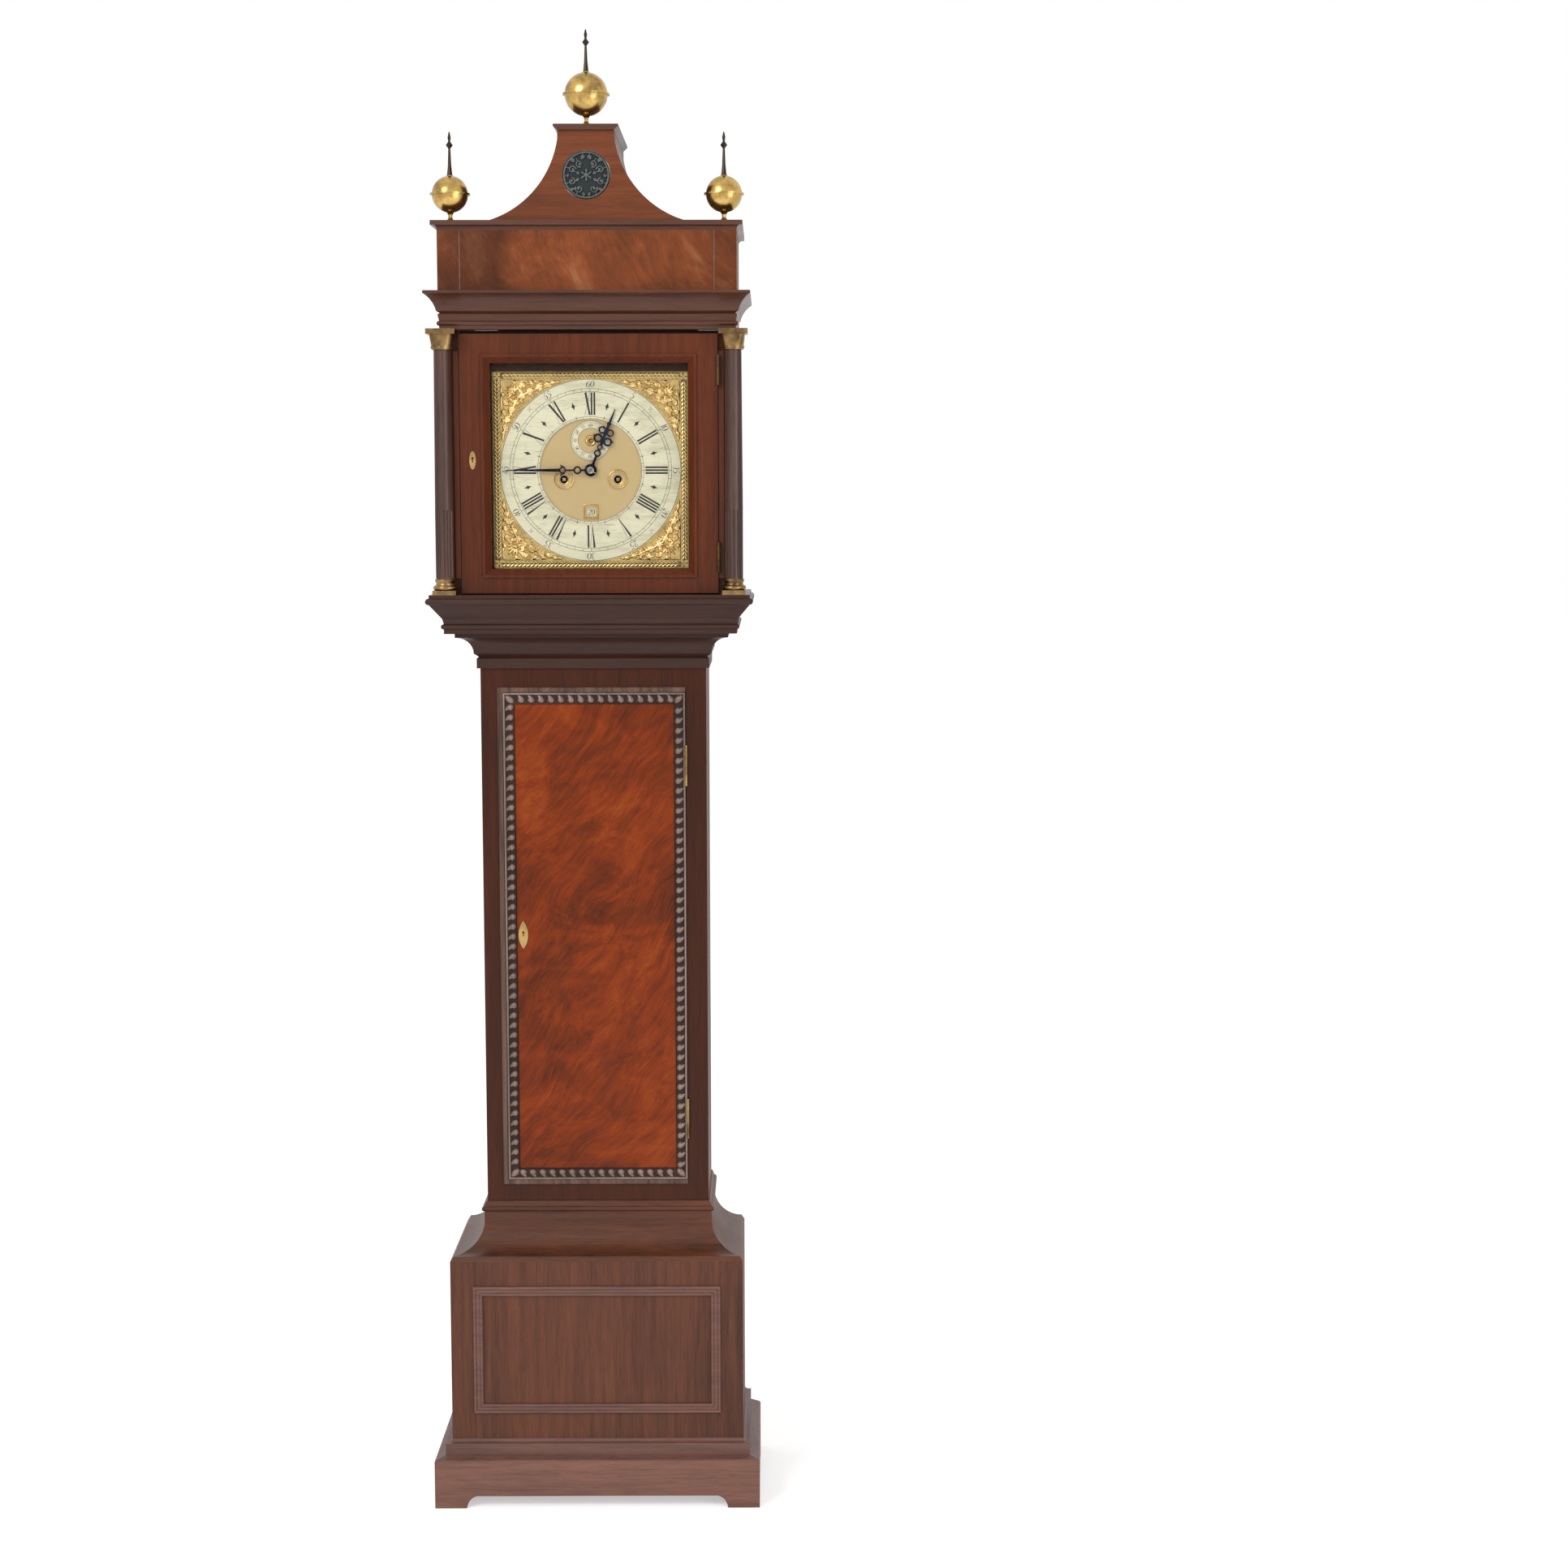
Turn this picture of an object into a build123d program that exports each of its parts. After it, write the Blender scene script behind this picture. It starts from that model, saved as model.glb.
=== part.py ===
from build123d import *
import os
from math import atan2, cos, degrees, hypot, radians, sin, sqrt

os.makedirs("parts", exist_ok=True)

# A longcase clock with a pagoda-topped hood, in millimetres.
# X runs to the right, Z up from the floor, and the front of the clock faces -Y.
# Depths are measured forward from the flat back of the case.

# Boards and general clearances
side_board = 15
front_board = 18
thin_board = 12
joint_gap = 0.3
door_gap = 0.8

# Plinth and base
foot_height = 20
foot_width = 50
foot_ogee = 17
skirt_height = 76
plinth_projection = 26
plinth_moulding_height = 29
plinth_step = 10
base_projection = 55
base_lift = 22
base_box_height = 371
panel_frame_half_width = 195.5
panel_frame_height = 206
panel_frame_lift = 125
panel_bead = 4.5
panel_frame_band = 15

# Trunk
trunk_half_width = 176
trunk_height = 850
base_cove_height = 84
base_cove_fillet = 5
trunk_cove_height = 56
trunk_cove_radius = 26
door_half_width = 144
door_top_margin = 36
door_bottom_margin = 33
door_thickness = 18
border_width = 18
border_rise = 7
lip_width = 7
lip_inset = 1.5
lip_rise = 4

# Hood
hood_half_width = 225
hood_depth = 246
hood_overhang = 55
hood_base_height = 60
hood_nose = 25
hood_opening_height = 402
hood_side_board = 14
hood_side_inset = 13
cornice_height = 57
cornice_projection = 22
attic_height = 91
attic_cap_height = 14
attic_cap_projection = 9
corner_block_width = 34
crest_height = 134
crest_half_width = 150
crest_neck_half_width = 43
crest_neck_height = 13
crest_curve_radius = 150
crest_board = 18
crest_cap_height = 8.5
crest_cap_projection = 6
roundel_radius = 36.5
roundel_height = 68
fret_thickness = 2.5
cloth_thickness = 1.5
roof_board = 10
ball_radius = 32.5
ball_neck = 14
spire_height = 63
side_ball_radius = 27.5
side_ball_neck = 13.5
side_spire_height = 65
side_finial_offset = 207.5

# Hood columns
column_offset = 221
column_radius = 14
abacus_half = 22
capital_height = 31
column_base_height = 24

# Hood door
hood_door_half_width = 197
hood_door_thickness = 20
hood_door_recess = 8
hood_door_foot_gap = 2
hood_door_head_gap = 6
sight_half_width = 151.5
sight_half_height = 156.5
sight_lift = 195.5
sight_lip = 13
sight_lip_rise = 3
glass_thickness = 2.5
glass_rebate = 4

# Keyhole plates
small_plate_width = 10
small_plate_height = 28
small_plate_offset = 178
small_plate_lift = 205
almond_width = 15
almond_height = 46
almond_offset = 114
almond_lift = 429

# Hinges
knuckle_radius = 2.9
hinge_pin_radius = 1.05
hinge_leaf = 1.5
pin_clearance = 0.08
trunk_hinge_length = 64
hood_hinge_length = 46

# Dial
dial_half = 152.4
dial_thickness = 1.8
dial_lift = 190
dial_recess = 44
dial_hole = 6
chapter_outer = 139.7
chapter_inner = 78.2
chapter_thickness = 2
seconds_lift = 45.3
seconds_outer = 30.5
seconds_inner = 19
seconds_thickness = 1
winding_offset = 41.5
winding_drop = 14
winding_hole = 6
winding_ring = 14.7
calendar_drop = 63.6
window_width = 15.5
window_height = 12.9
mask_thickness = 8
mask_sight_half = 150.5

# Movement
plate_thickness = 3
plate_gap = 65
plate_half_width = 86
plate_height = 170
dial_foot_length = 32
pillar_radius = 5
pillar_inset = 11
arbor_radius = 1.6
stud_radius = 1.2
cannon_pipe = 3.2
pivot_radius = 0.9
pivot_clearance = 0.05
wheel_thickness = 2
pinion_leaves = 6
great_teeth = 72
strike_great_radius = 38
centre_teeth = 45
centre_module = 1.0
third_teeth = 48
third_module = 0.9
escape_teeth = 30
escape_radius = 17
cannon_teeth = 30
hour_teeth = 72
hour_module = 0.75
anchor_rise = 25
crutch_length = 130
barrel_radius = 22
barrel_flange = 24.3
barrel_length = 38
barrel_arbor_radius = 3
winding_square = 4.6
calendar_outer = 76
calendar_inner = 53
calendar_teeth = 31
seat_board_thickness = 20
bell_radius = 40

# Weights and pendulum
weight_radius = 25
weight_height = 190
weight_hang = 112
pulley_radius = 22
line_radius = 0.8
pendulum_length = 994
pendulum_gap = 25
rod_radius = 2.5
bob_radius = 50
bob_thickness = 30

# Hands, turned clockwise from twelve as the photographed clock shows 12:45
minute_hand_turn = 270
hour_hand_turn = 22.5
minute_hand_length = 131
hour_hand_length = 101
hand_thickness = 1.6

# The base stands out from the trunk alike on three sides
trunk_depth = hood_depth - hood_overhang
base_half_width = trunk_half_width + base_projection
base_depth = trunk_depth + base_projection
base_cove_radius = base_projection - 2 * base_cove_fillet

# Heights of the stages, worked up from the floor
base_top = base_lift + base_box_height
trunk_bottom = base_top + base_cove_height
trunk_top = trunk_bottom + trunk_height
hood_bottom = trunk_top + trunk_cove_height
hood_floor = hood_bottom + hood_base_height
frieze_bottom = hood_floor + hood_opening_height
attic_bottom = frieze_bottom + cornice_height
attic_top = attic_bottom + attic_height
crest_bottom = attic_top + attic_cap_height
crest_top = crest_bottom + crest_height
summit = crest_top + crest_cap_height

# The origin stands under the middle of the whole outline
front_most = max(base_depth + plinth_projection, hood_depth + hood_nose)
case_back = front_most / 2

dial_centre = hood_floor + dial_lift
dial_depth = hood_depth - dial_recess
plate_front_depth = dial_depth - dial_foot_length
pendulum_depth = plate_front_depth - 2 * plate_thickness - plate_gap - pendulum_gap
sight_centre = hood_floor + sight_lift

# Where the trunk door hangs
door_opening_bottom = trunk_bottom + door_bottom_margin
door_opening_top = trunk_top - door_top_margin
door_front = trunk_depth + joint_gap
door_back = door_front - door_thickness
leaf_edge = door_half_width - door_gap
door_low = door_opening_bottom + door_gap
door_high = door_opening_top - door_gap
door_middle = (door_low + door_high) / 2
trunk_pin_x = door_half_width - door_gap / 2
trunk_pin_depth = door_front + knuckle_radius + joint_gap
trunk_leaf_back = door_back + 3
trunk_hinge_centres = (door_low + 100, door_high - 116)

# Where the hood door hangs
side_outer = hood_half_width - hood_side_inset
side_inner = side_outer - hood_side_board
hood_door_front = hood_depth - hood_door_recess
hood_door_back = hood_door_front - hood_door_thickness
hood_door_bottom = hood_floor + hood_door_foot_gap
hood_door_top = frieze_bottom - hood_door_head_gap
hood_door_middle = (hood_door_bottom + hood_door_top) / 2
hood_pin_x = (hood_door_half_width + side_inner) / 2
hood_pin_depth = hood_door_front + knuckle_radius + joint_gap
hood_leaf_back = hood_door_back + 3
hood_hinge_centres = (hood_door_bottom + 55, hood_door_top - 55)


def at_depth(depth):
    """The Y of a plane at this depth from the back."""
    return case_back - depth


def front_plane(depth, x=0.0, z=0.0, turn=0.0):
    """A plane facing the viewer; turn is clockwise from twelve o'clock."""
    angle = radians(turn)
    return Plane(origin=(x, at_depth(depth), z), x_dir=(cos(angle), 0, -sin(angle)), z_dir=(0, -1, 0))


def round_three_sides(half_width, depth):
    """The line right, front and left of the case that a moulding follows."""
    with BuildLine(mode=Mode.PRIVATE) as path:
        Polyline(
            (half_width, case_back),
            (half_width, at_depth(depth)),
            (-half_width, at_depth(depth)),
            (-half_width, case_back),
        )
    return path.line


def cut_leaf_beds(edge_x, outward, leaf_back, leaf_front, centres, length):
    """The shallow beds that the hinge leaves are let into."""
    bed = hinge_leaf + 0.05
    for centre in centres:
        with Locations((edge_x + outward * bed / 2, at_depth((leaf_back + leaf_front) / 2), centre)):
            Box(bed, leaf_front - leaf_back + 0.2, length + 0.2, mode=Mode.SUBTRACT)


def keep(piece, name):
    """Label a finished piece and write it out."""
    piece.part.label = name
    export_step(piece.part, f"parts/{name}.step")


# Plinth: skirt board with bracket feet, cut low between them
skirt_path = round_three_sides(base_half_width, base_depth)
skirt_outer = base_half_width + plinth_projection
with BuildPart() as plinth_skirt:
    with BuildSketch(Plane.XZ.offset(-case_back)):
        with Locations((base_half_width + plinth_projection / 2, skirt_height / 2)):
            Rectangle(plinth_projection, skirt_height)
    sweep(path=skirt_path, transition=Transition.RIGHT)
    with BuildSketch(front_plane(base_depth + plinth_projection)):
        with BuildLine():
            low = skirt_outer - foot_width
            high = low - foot_ogee
            Line((-low, 0), (low, 0))
            Line((high, foot_height), (-high, foot_height))
            Spline((low, 0), (high, foot_height), tangents=((-0.2, 1), (-1, 0.2)))
            Spline((-low, 0), (-high, foot_height), tangents=((0.2, 1), (1, 0.2)))
        make_face()
    extrude(amount=-plinth_projection, mode=Mode.SUBTRACT)
    side_middle = at_depth((base_depth + plinth_projection) / 2)
    with BuildSketch(Plane.YZ.offset(-skirt_outer)):
        with BuildLine():
            reach = (base_depth + plinth_projection) / 2 - foot_width
            high = reach - foot_ogee
            Line((side_middle - reach, 0), (side_middle + reach, 0))
            Line((side_middle + high, foot_height), (side_middle - high, foot_height))
            Spline(
                (side_middle + reach, 0),
                (side_middle + high, foot_height),
                tangents=((-0.2, 1), (-1, 0.2)),
            )
            Spline(
                (side_middle - reach, 0),
                (side_middle - high, foot_height),
                tangents=((0.2, 1), (1, 0.2)),
            )
        make_face()
    extrude(amount=2 * skirt_outer, mode=Mode.SUBTRACT)
keep(plinth_skirt, "plinth_skirt")

# Plinth moulding: a thumb ledge, a flat fascia and a small hollow against the base
with BuildPart() as plinth_moulding:
    with BuildSketch(Plane.XZ.offset(-case_back)):
        with BuildLine():
            fascia = base_half_width + plinth_step
            ledge = 6
            hollow = 5
            moulding_top = skirt_height + plinth_moulding_height
            Line((base_half_width, skirt_height), (skirt_outer, skirt_height))
            Line((skirt_outer, skirt_height), (skirt_outer - 2, skirt_height + 2))
            Line((skirt_outer - 2, skirt_height + 2), (fascia, skirt_height + ledge))
            Line((fascia, skirt_height + ledge), (fascia, moulding_top - hollow))
            Line((fascia, moulding_top - hollow), (base_half_width + hollow, moulding_top - hollow))
            CenterArc((base_half_width + hollow, moulding_top), hollow, 180, 90)
            Line((base_half_width, moulding_top), (base_half_width, skirt_height))
        make_face()
    sweep(path=skirt_path, transition=Transition.RIGHT)
keep(plinth_moulding, "plinth_moulding")

# Base box: sides, front and floor, open at the back for the backboard
with BuildPart() as base_carcass:
    with Locations((0, at_depth(base_depth / 2), base_lift + base_box_height / 2)):
        Box(2 * base_half_width, base_depth, base_box_height)
    with Locations((0, at_depth((base_depth - front_board) / 2), base_lift + front_board + base_box_height / 2)):
        Box(
            2 * (base_half_width - front_board),
            base_depth - front_board,
            base_box_height,
            mode=Mode.SUBTRACT,
        )
keep(base_carcass, "base_carcass")

# Applied frame on the base front: two beads with a flat between
with BuildPart() as base_panel_bead:
    frame_middle = base_lift + panel_frame_lift + panel_frame_height / 2
    frame_plane = front_plane(base_depth, z=frame_middle)
    with BuildSketch(frame_plane):
        Rectangle(2 * panel_frame_half_width, panel_frame_height)
        inner_width = 2 * (panel_frame_half_width - panel_frame_band)
        inner_height = panel_frame_height - 2 * panel_frame_band
        Rectangle(inner_width, inner_height, mode=Mode.SUBTRACT)
    extrude(amount=1.5)
    with BuildSketch(frame_plane):
        Rectangle(2 * panel_frame_half_width, panel_frame_height)
        Rectangle(
            2 * (panel_frame_half_width - panel_bead),
            panel_frame_height - 2 * panel_bead,
            mode=Mode.SUBTRACT,
        )
        Rectangle(inner_width + 2 * panel_bead, inner_height + 2 * panel_bead)
        Rectangle(inner_width, inner_height, mode=Mode.SUBTRACT)
    extrude(amount=panel_bead)
    crest_edges = base_panel_bead.faces().sort_by(Axis.Y)[:2].edges()
    chamfer(crest_edges, panel_bead * 0.3)
keep(base_panel_bead, "base_panel_bead")

# Base-top cove: bevel, large hollow, fillet and astragal up to the trunk
base_path = round_three_sides(trunk_half_width, trunk_depth)
with BuildPart() as base_cove:
    with BuildSketch(Plane.XZ.offset(-case_back)):
        with BuildLine():
            fillet_x = trunk_half_width + base_cove_fillet
            cove_foot = base_top + 7
            cove_head = cove_foot + base_cove_radius
            bead = 4
            bead_middle = trunk_bottom - 12
            Line((trunk_half_width, base_top), (base_half_width, base_top))
            Line((base_half_width, base_top), (fillet_x + base_cove_radius, cove_foot))
            CenterArc((fillet_x + base_cove_radius, cove_head), base_cove_radius, 180, 90)
            Line((fillet_x, cove_head), (fillet_x, bead_middle - bead))
            CenterArc((fillet_x, bead_middle), bead, -90, 180)
            Line((fillet_x, bead_middle + bead), (trunk_half_width + 2, trunk_bottom))
            Line((trunk_half_width + 2, trunk_bottom), (trunk_half_width, trunk_bottom))
            Line((trunk_half_width, trunk_bottom), (trunk_half_width, base_top))
        make_face()
    sweep(path=base_path, transition=Transition.RIGHT)
keep(base_cove, "base_cove")

# Backboard: one tall board from the base floor up behind the hood, with ears that close the hood
board_inner = trunk_half_width - side_board
seat_top = dial_centre - plate_height / 2 + 12
seat_bottom = seat_top - seat_board_thickness
with BuildPart() as backboard:
    base_floor = base_lift + front_board
    with Locations((0, at_depth(thin_board / 2), (base_floor + base_top) / 2)):
        Box(2 * (base_half_width - front_board) - 2 * joint_gap, thin_board, base_top - base_floor)
    board_head = attic_bottom - thin_board
    with Locations((0, at_depth(thin_board / 2), (base_top + board_head) / 2)):
        Box(2 * board_inner - 2 * joint_gap, thin_board, board_head - base_top)
    ear_foot = seat_bottom
    ear_head = frieze_bottom - 2
    with Locations((0, at_depth(thin_board / 2), (ear_foot + ear_head) / 2)):
        Box(2 * (side_inner - 1), thin_board, ear_head - ear_foot)
keep(backboard, "backboard")

# Trunk sides, which run up inside the hood as cheeks for the seat board
trunk_back_of_front = trunk_depth - front_board
with BuildPart() as trunk_sides:
    cheek_middle = (base_top + seat_bottom) / 2
    for side in (-1, 1):
        with Locations((
            side * (trunk_half_width - side_board / 2),
            at_depth(trunk_back_of_front / 2),
            cheek_middle,
        )):
            Box(side_board, trunk_back_of_front, seat_bottom - base_top)
keep(trunk_sides, "trunk_sides")

# Trunk front: stiles and rails round the door opening
frame_top = hood_floor - 12
with BuildPart() as trunk_front_frame:
    with Locations((0, at_depth(trunk_depth - front_board / 2), (base_top + frame_top) / 2)):
        Box(2 * trunk_half_width, front_board, frame_top - base_top)
    with Locations((
        0,
        at_depth(trunk_depth - front_board / 2),
        (door_opening_bottom + door_opening_top) / 2,
    )):
        Box(
            2 * door_half_width,
            front_board,
            door_opening_top - door_opening_bottom,
            mode=Mode.SUBTRACT,
        )
    cut_leaf_beds(
        door_half_width, 1, trunk_leaf_back, trunk_pin_depth, trunk_hinge_centres, trunk_hinge_length
    )
keep(trunk_front_frame, "trunk_front_frame")

# Trunk-top moulding: fillet, groove and hollow flaring out to carry the hood
with BuildPart() as trunk_cove:
    with BuildSketch(Plane.XZ.offset(-case_back)):
        with BuildLine():
            fillet_x = trunk_half_width + 5
            fillet_head = trunk_top + 15
            groove_head = fillet_head + 8
            cove_start = trunk_half_width + 9
            cove_lip = cove_start + trunk_cove_radius
            cove_head = groove_head + trunk_cove_radius
            Line((trunk_half_width, trunk_top), (fillet_x, trunk_top))
            Line((fillet_x, trunk_top), (fillet_x, fillet_head))
            Line((fillet_x, fillet_head), (trunk_half_width + 2, fillet_head + 3))
            Line((trunk_half_width + 2, fillet_head + 3), (cove_start, groove_head))
            CenterArc((cove_lip, groove_head), trunk_cove_radius, 90, 90)
            Line((cove_lip, cove_head), (cove_lip, hood_bottom))
            Line((cove_lip, hood_bottom), (trunk_half_width, hood_bottom))
            Line((trunk_half_width, hood_bottom), (trunk_half_width, trunk_top))
        make_face()
    sweep(path=base_path, transition=Transition.RIGHT)
keep(trunk_cove, "trunk_cove")

# Hood base: a frame on three sides with bead, fascia and swept nose
hood_path = round_three_sides(hood_half_width, hood_depth)
hood_inner = trunk_half_width + 2
with BuildPart() as hood_base_frame:
    with BuildSketch(Plane.XZ.offset(-case_back)):
        with BuildLine():
            nose_x = hood_half_width + hood_nose
            bead = 4
            bead_middle = hood_bottom + 11
            fascia_head = bead_middle + bead + 8
            nose_low = hood_floor - 15
            rounding = 5
            Line((hood_inner, hood_bottom), (hood_half_width, hood_bottom))
            Line((hood_half_width, hood_bottom), (hood_half_width, bead_middle - bead))
            CenterArc((hood_half_width, bead_middle), bead, -90, 180)
            Line((hood_half_width, bead_middle + bead), (hood_half_width + 2, fascia_head))
            Line((hood_half_width + 2, fascia_head), (nose_x - rounding, nose_low))
            CenterArc((nose_x - rounding, nose_low + rounding), rounding, -90, 180)
            Line((nose_x - rounding, nose_low + 2 * rounding), (nose_x - rounding, hood_floor))
            Line((nose_x - rounding, hood_floor), (hood_inner, hood_floor))
            Line((hood_inner, hood_floor), (hood_inner, hood_bottom))
        make_face()
    sweep(path=hood_path, transition=Transition.RIGHT)
keep(hood_base_frame, "hood_base_frame")

# Hood sides: boards with a thin tongue in front, notched round the column mounts
column_depth = hood_depth + hood_half_width - column_offset
tongue = 8
tongue_front = hood_depth - hood_door_recess - 2
tongue_back = column_depth - column_radius - 3
mount_back = column_depth - abacus_half - joint_gap
with BuildPart() as hood_sides:
    for side in (-1, 1):
        with Locations((
            side * (side_inner + hood_side_board / 2),
            at_depth(tongue_front / 2),
            (hood_floor + frieze_bottom) / 2,
        )):
            Box(hood_side_board, tongue_front, hood_opening_height)
        with Locations((
            side * (side_inner + tongue + hood_side_board / 2),
            at_depth(tongue_back + tongue_front / 2),
            (hood_floor + frieze_bottom) / 2,
        )):
            Box(hood_side_board, tongue_front, hood_opening_height, mode=Mode.SUBTRACT)
        for level in (hood_floor, frieze_bottom):
            cut_height = column_base_height if level == hood_floor else capital_height
            with Locations((
                side * side_inner,
                at_depth(mount_back + tongue_front / 2),
                level,
            )):
                Box(4 * hood_side_board, tongue_front, 2 * cut_height + 2, mode=Mode.SUBTRACT)
    cut_leaf_beds(side_inner, 1, hood_leaf_back, hood_pin_depth, hood_hinge_centres, hood_hinge_length)
keep(hood_sides, "hood_sides")

# Columns: straight and fluted over the lower third, tapering above
shaft_bottom = hood_floor + column_base_height
shaft_top = frieze_bottom - capital_height
flute_count = 12
flute_radius = 2.2
flute_top = 108
flute_stop = 3
for side, column_name in ((-1, "column_left"), (1, "column_right")):
    shaft_plane = Plane(origin=(side * column_offset, at_depth(column_depth), shaft_bottom))
    with BuildPart() as column:
        with BuildSketch(Plane(shaft_plane.origin, x_dir=(1, 0, 0), z_dir=(0, -1, 0))):
            with BuildLine():
                shaft_length = shaft_top - shaft_bottom
                neck = column_radius - 1.5
                Line((0, 0), (column_radius, 0))
                Line((column_radius, 0), (column_radius, flute_top))
                Line((column_radius, flute_top), (neck, shaft_length))
                Line((neck, shaft_length), (0, shaft_length))
                Line((0, shaft_length), (0, 0))
            make_face()
        revolve(axis=Axis(shaft_plane.origin, (0, 0, 1)))
        with BuildSketch(shaft_plane.offset(flute_stop)):
            with PolarLocations(column_radius + 0.6, flute_count):
                RegularPolygon(flute_radius, 6)
        extrude(amount=flute_top - 2 * flute_stop, mode=Mode.SUBTRACT)
    keep(column, column_name)

# Brass capitals and bases: square blocks turning to round necks
with BuildPart() as column_mounts:
    for side in (-1, 1):
        spot = (side * column_offset, at_depth(column_depth))
        abacus_thickness = 8
        plinth_block = 7
        with BuildSketch(Plane.XY.offset(frieze_bottom - abacus_thickness)):
            with Locations(spot):
                Rectangle(2 * abacus_half, 2 * abacus_half)
        extrude(amount=abacus_thickness)
        with BuildSketch(Plane.XY.offset(shaft_top)):
            with Locations(spot):
                Circle(column_radius + 1.5)
        with BuildSketch(Plane.XY.offset(frieze_bottom - abacus_thickness)):
            with Locations(spot):
                RectangleRounded(2 * abacus_half - 8, 2 * abacus_half - 8, 9)
        loft()
        with BuildSketch(Plane.XY.offset(shaft_top + 2)):
            with Locations(spot):
                Circle(column_radius + 3)
        extrude(amount=3)
        with BuildSketch(Plane.XY.offset(hood_floor)):
            with Locations(spot):
                Rectangle(2 * abacus_half - 8, 2 * abacus_half - 8)
        extrude(amount=plinth_block)
        with BuildSketch(Plane((*spot, hood_floor), x_dir=(1, 0, 0), z_dir=(0, -1, 0))):
            with BuildLine():
                torus = 4
                torus_x = column_radius + 0.5
                Line((0, plinth_block), (torus_x, plinth_block))
                CenterArc((torus_x, plinth_block + torus), torus, -90, 180)
                Line((torus_x, plinth_block + 2 * torus), (column_radius, plinth_block + 2 * torus + 3))
                Line((column_radius, plinth_block + 2 * torus + 3), (column_radius + 2, column_base_height - 2))
                Line((column_radius + 2, column_base_height - 2), (column_radius + 1, column_base_height))
                Line((column_radius + 1, column_base_height), (0, column_base_height))
                Line((0, column_base_height), (0, plinth_block))
            make_face()
        revolve(axis=Axis((*spot, 0), (0, 0, 1)))
keep(column_mounts, "column_mounts")

# Hood mask: the flat frame between the dial and the hood door
mask_half_width = side_inner - joint_gap
with BuildPart() as hood_mask:
    mask_front = hood_depth - hood_door_recess - hood_door_thickness - 2
    with BuildSketch(front_plane(mask_front - mask_thickness)):
        with Locations((0, (hood_floor + frieze_bottom) / 2)):
            Rectangle(2 * mask_half_width, hood_opening_height)
        with Locations((0, dial_centre)):
            Rectangle(2 * mask_sight_half, 2 * mask_sight_half, mode=Mode.SUBTRACT)
    extrude(amount=mask_thickness)
keep(hood_mask, "hood_mask")

# Frieze and cornice round the hood
with BuildPart() as hood_cornice:
    with BuildSketch(Plane.XZ.offset(-case_back)):
        with BuildLine():
            bead = 3.5
            bead_middle = frieze_bottom + 9
            band_head = bead_middle + bead + 10
            flare_foot = band_head + 5
            flare = cornice_projection - 4
            lip = 4
            flare_head = attic_bottom - lip
            cornice_x = hood_half_width + cornice_projection
            Line((side_inner, frieze_bottom), (hood_half_width, frieze_bottom))
            Line((hood_half_width, frieze_bottom), (hood_half_width, bead_middle - bead))
            CenterArc((hood_half_width, bead_middle), bead, -90, 180)
            Line((hood_half_width, bead_middle + bead), (hood_half_width + 2, band_head))
            Line((hood_half_width + 2, band_head), (hood_half_width - 1, band_head + 2))
            Line((hood_half_width - 1, band_head + 2), (hood_half_width + 4, flare_foot))
            ThreePointArc(
                (hood_half_width + 4, flare_foot),
                (hood_half_width + 4 + flare * 0.36, (flare_foot + flare_head) / 2 + 2),
                (cornice_x, flare_head),
            )
            Line((cornice_x, flare_head), (cornice_x, attic_bottom))
            Line((cornice_x, attic_bottom), (side_inner, attic_bottom))
            Line((side_inner, attic_bottom), (side_inner, frieze_bottom))
        make_face()
    sweep(path=hood_path, transition=Transition.RIGHT)
keep(hood_cornice, "hood_cornice")

# Attic: front and sides of the box over the cornice, with corner blocks scored off
attic_half = hood_half_width + 1.5
attic_path = round_three_sides(attic_half, hood_depth + 1.5)
with BuildPart() as attic_box:
    with BuildSketch(Plane.XZ.offset(-case_back)):
        with Locations((attic_half - side_board / 2, (attic_bottom + attic_top) / 2)):
            Rectangle(side_board, attic_height)
    sweep(path=attic_path, transition=Transition.RIGHT)
    joint_line = 1.2
    for side in (-1, 1):
        with Locations((
            side * (attic_half - corner_block_width),
            at_depth(hood_depth + 1.5),
            (attic_bottom + attic_top) / 2,
        )):
            Box(joint_line, joint_line, attic_height, mode=Mode.SUBTRACT)
keep(attic_box, "attic_box")

# Attic cap: small hollow moulding and the top board that carries the crest and finials
with BuildPart() as attic_cap:
    cap_board = 7
    cap_half = attic_half + attic_cap_projection
    cap_depth = hood_depth + 1.5 + attic_cap_projection
    with BuildSketch(Plane.XZ.offset(-case_back)):
        with BuildLine():
            hollow = attic_cap_height - cap_board
            Line((attic_half - side_board, attic_top), (attic_half, attic_top))
            Line((attic_half, attic_top), (attic_half, attic_top + 1))
            CenterArc((attic_half + hollow - 1, attic_top + 1), hollow - 1, 90, 90)
            Line(
                (attic_half + hollow - 1, attic_top + hollow),
                (attic_half - side_board, attic_top + hollow),
            )
            Line((attic_half - side_board, attic_top + hollow), (attic_half - side_board, attic_top))
        make_face()
    sweep(path=attic_path, transition=Transition.RIGHT)
    with Locations((0, at_depth(cap_depth / 2), crest_bottom - cap_board / 2)):
        Box(2 * cap_half, cap_depth, cap_board)
keep(attic_cap, "attic_cap")

# Crest: the front board with hollow sides and a round window
crest_front = hood_depth
chord_x = crest_half_width - crest_neck_half_width
chord_z = crest_height - crest_neck_height
chord = hypot(chord_x, chord_z)
sagitta = crest_curve_radius - sqrt(crest_curve_radius**2 - (chord / 2) ** 2)
curve_middle_x = (crest_half_width + crest_neck_half_width) / 2 - sagitta * chord_z / chord
curve_middle_z = crest_bottom + chord_z / 2 - sagitta * chord_x / chord
shoulder = crest_top - crest_neck_height


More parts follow.
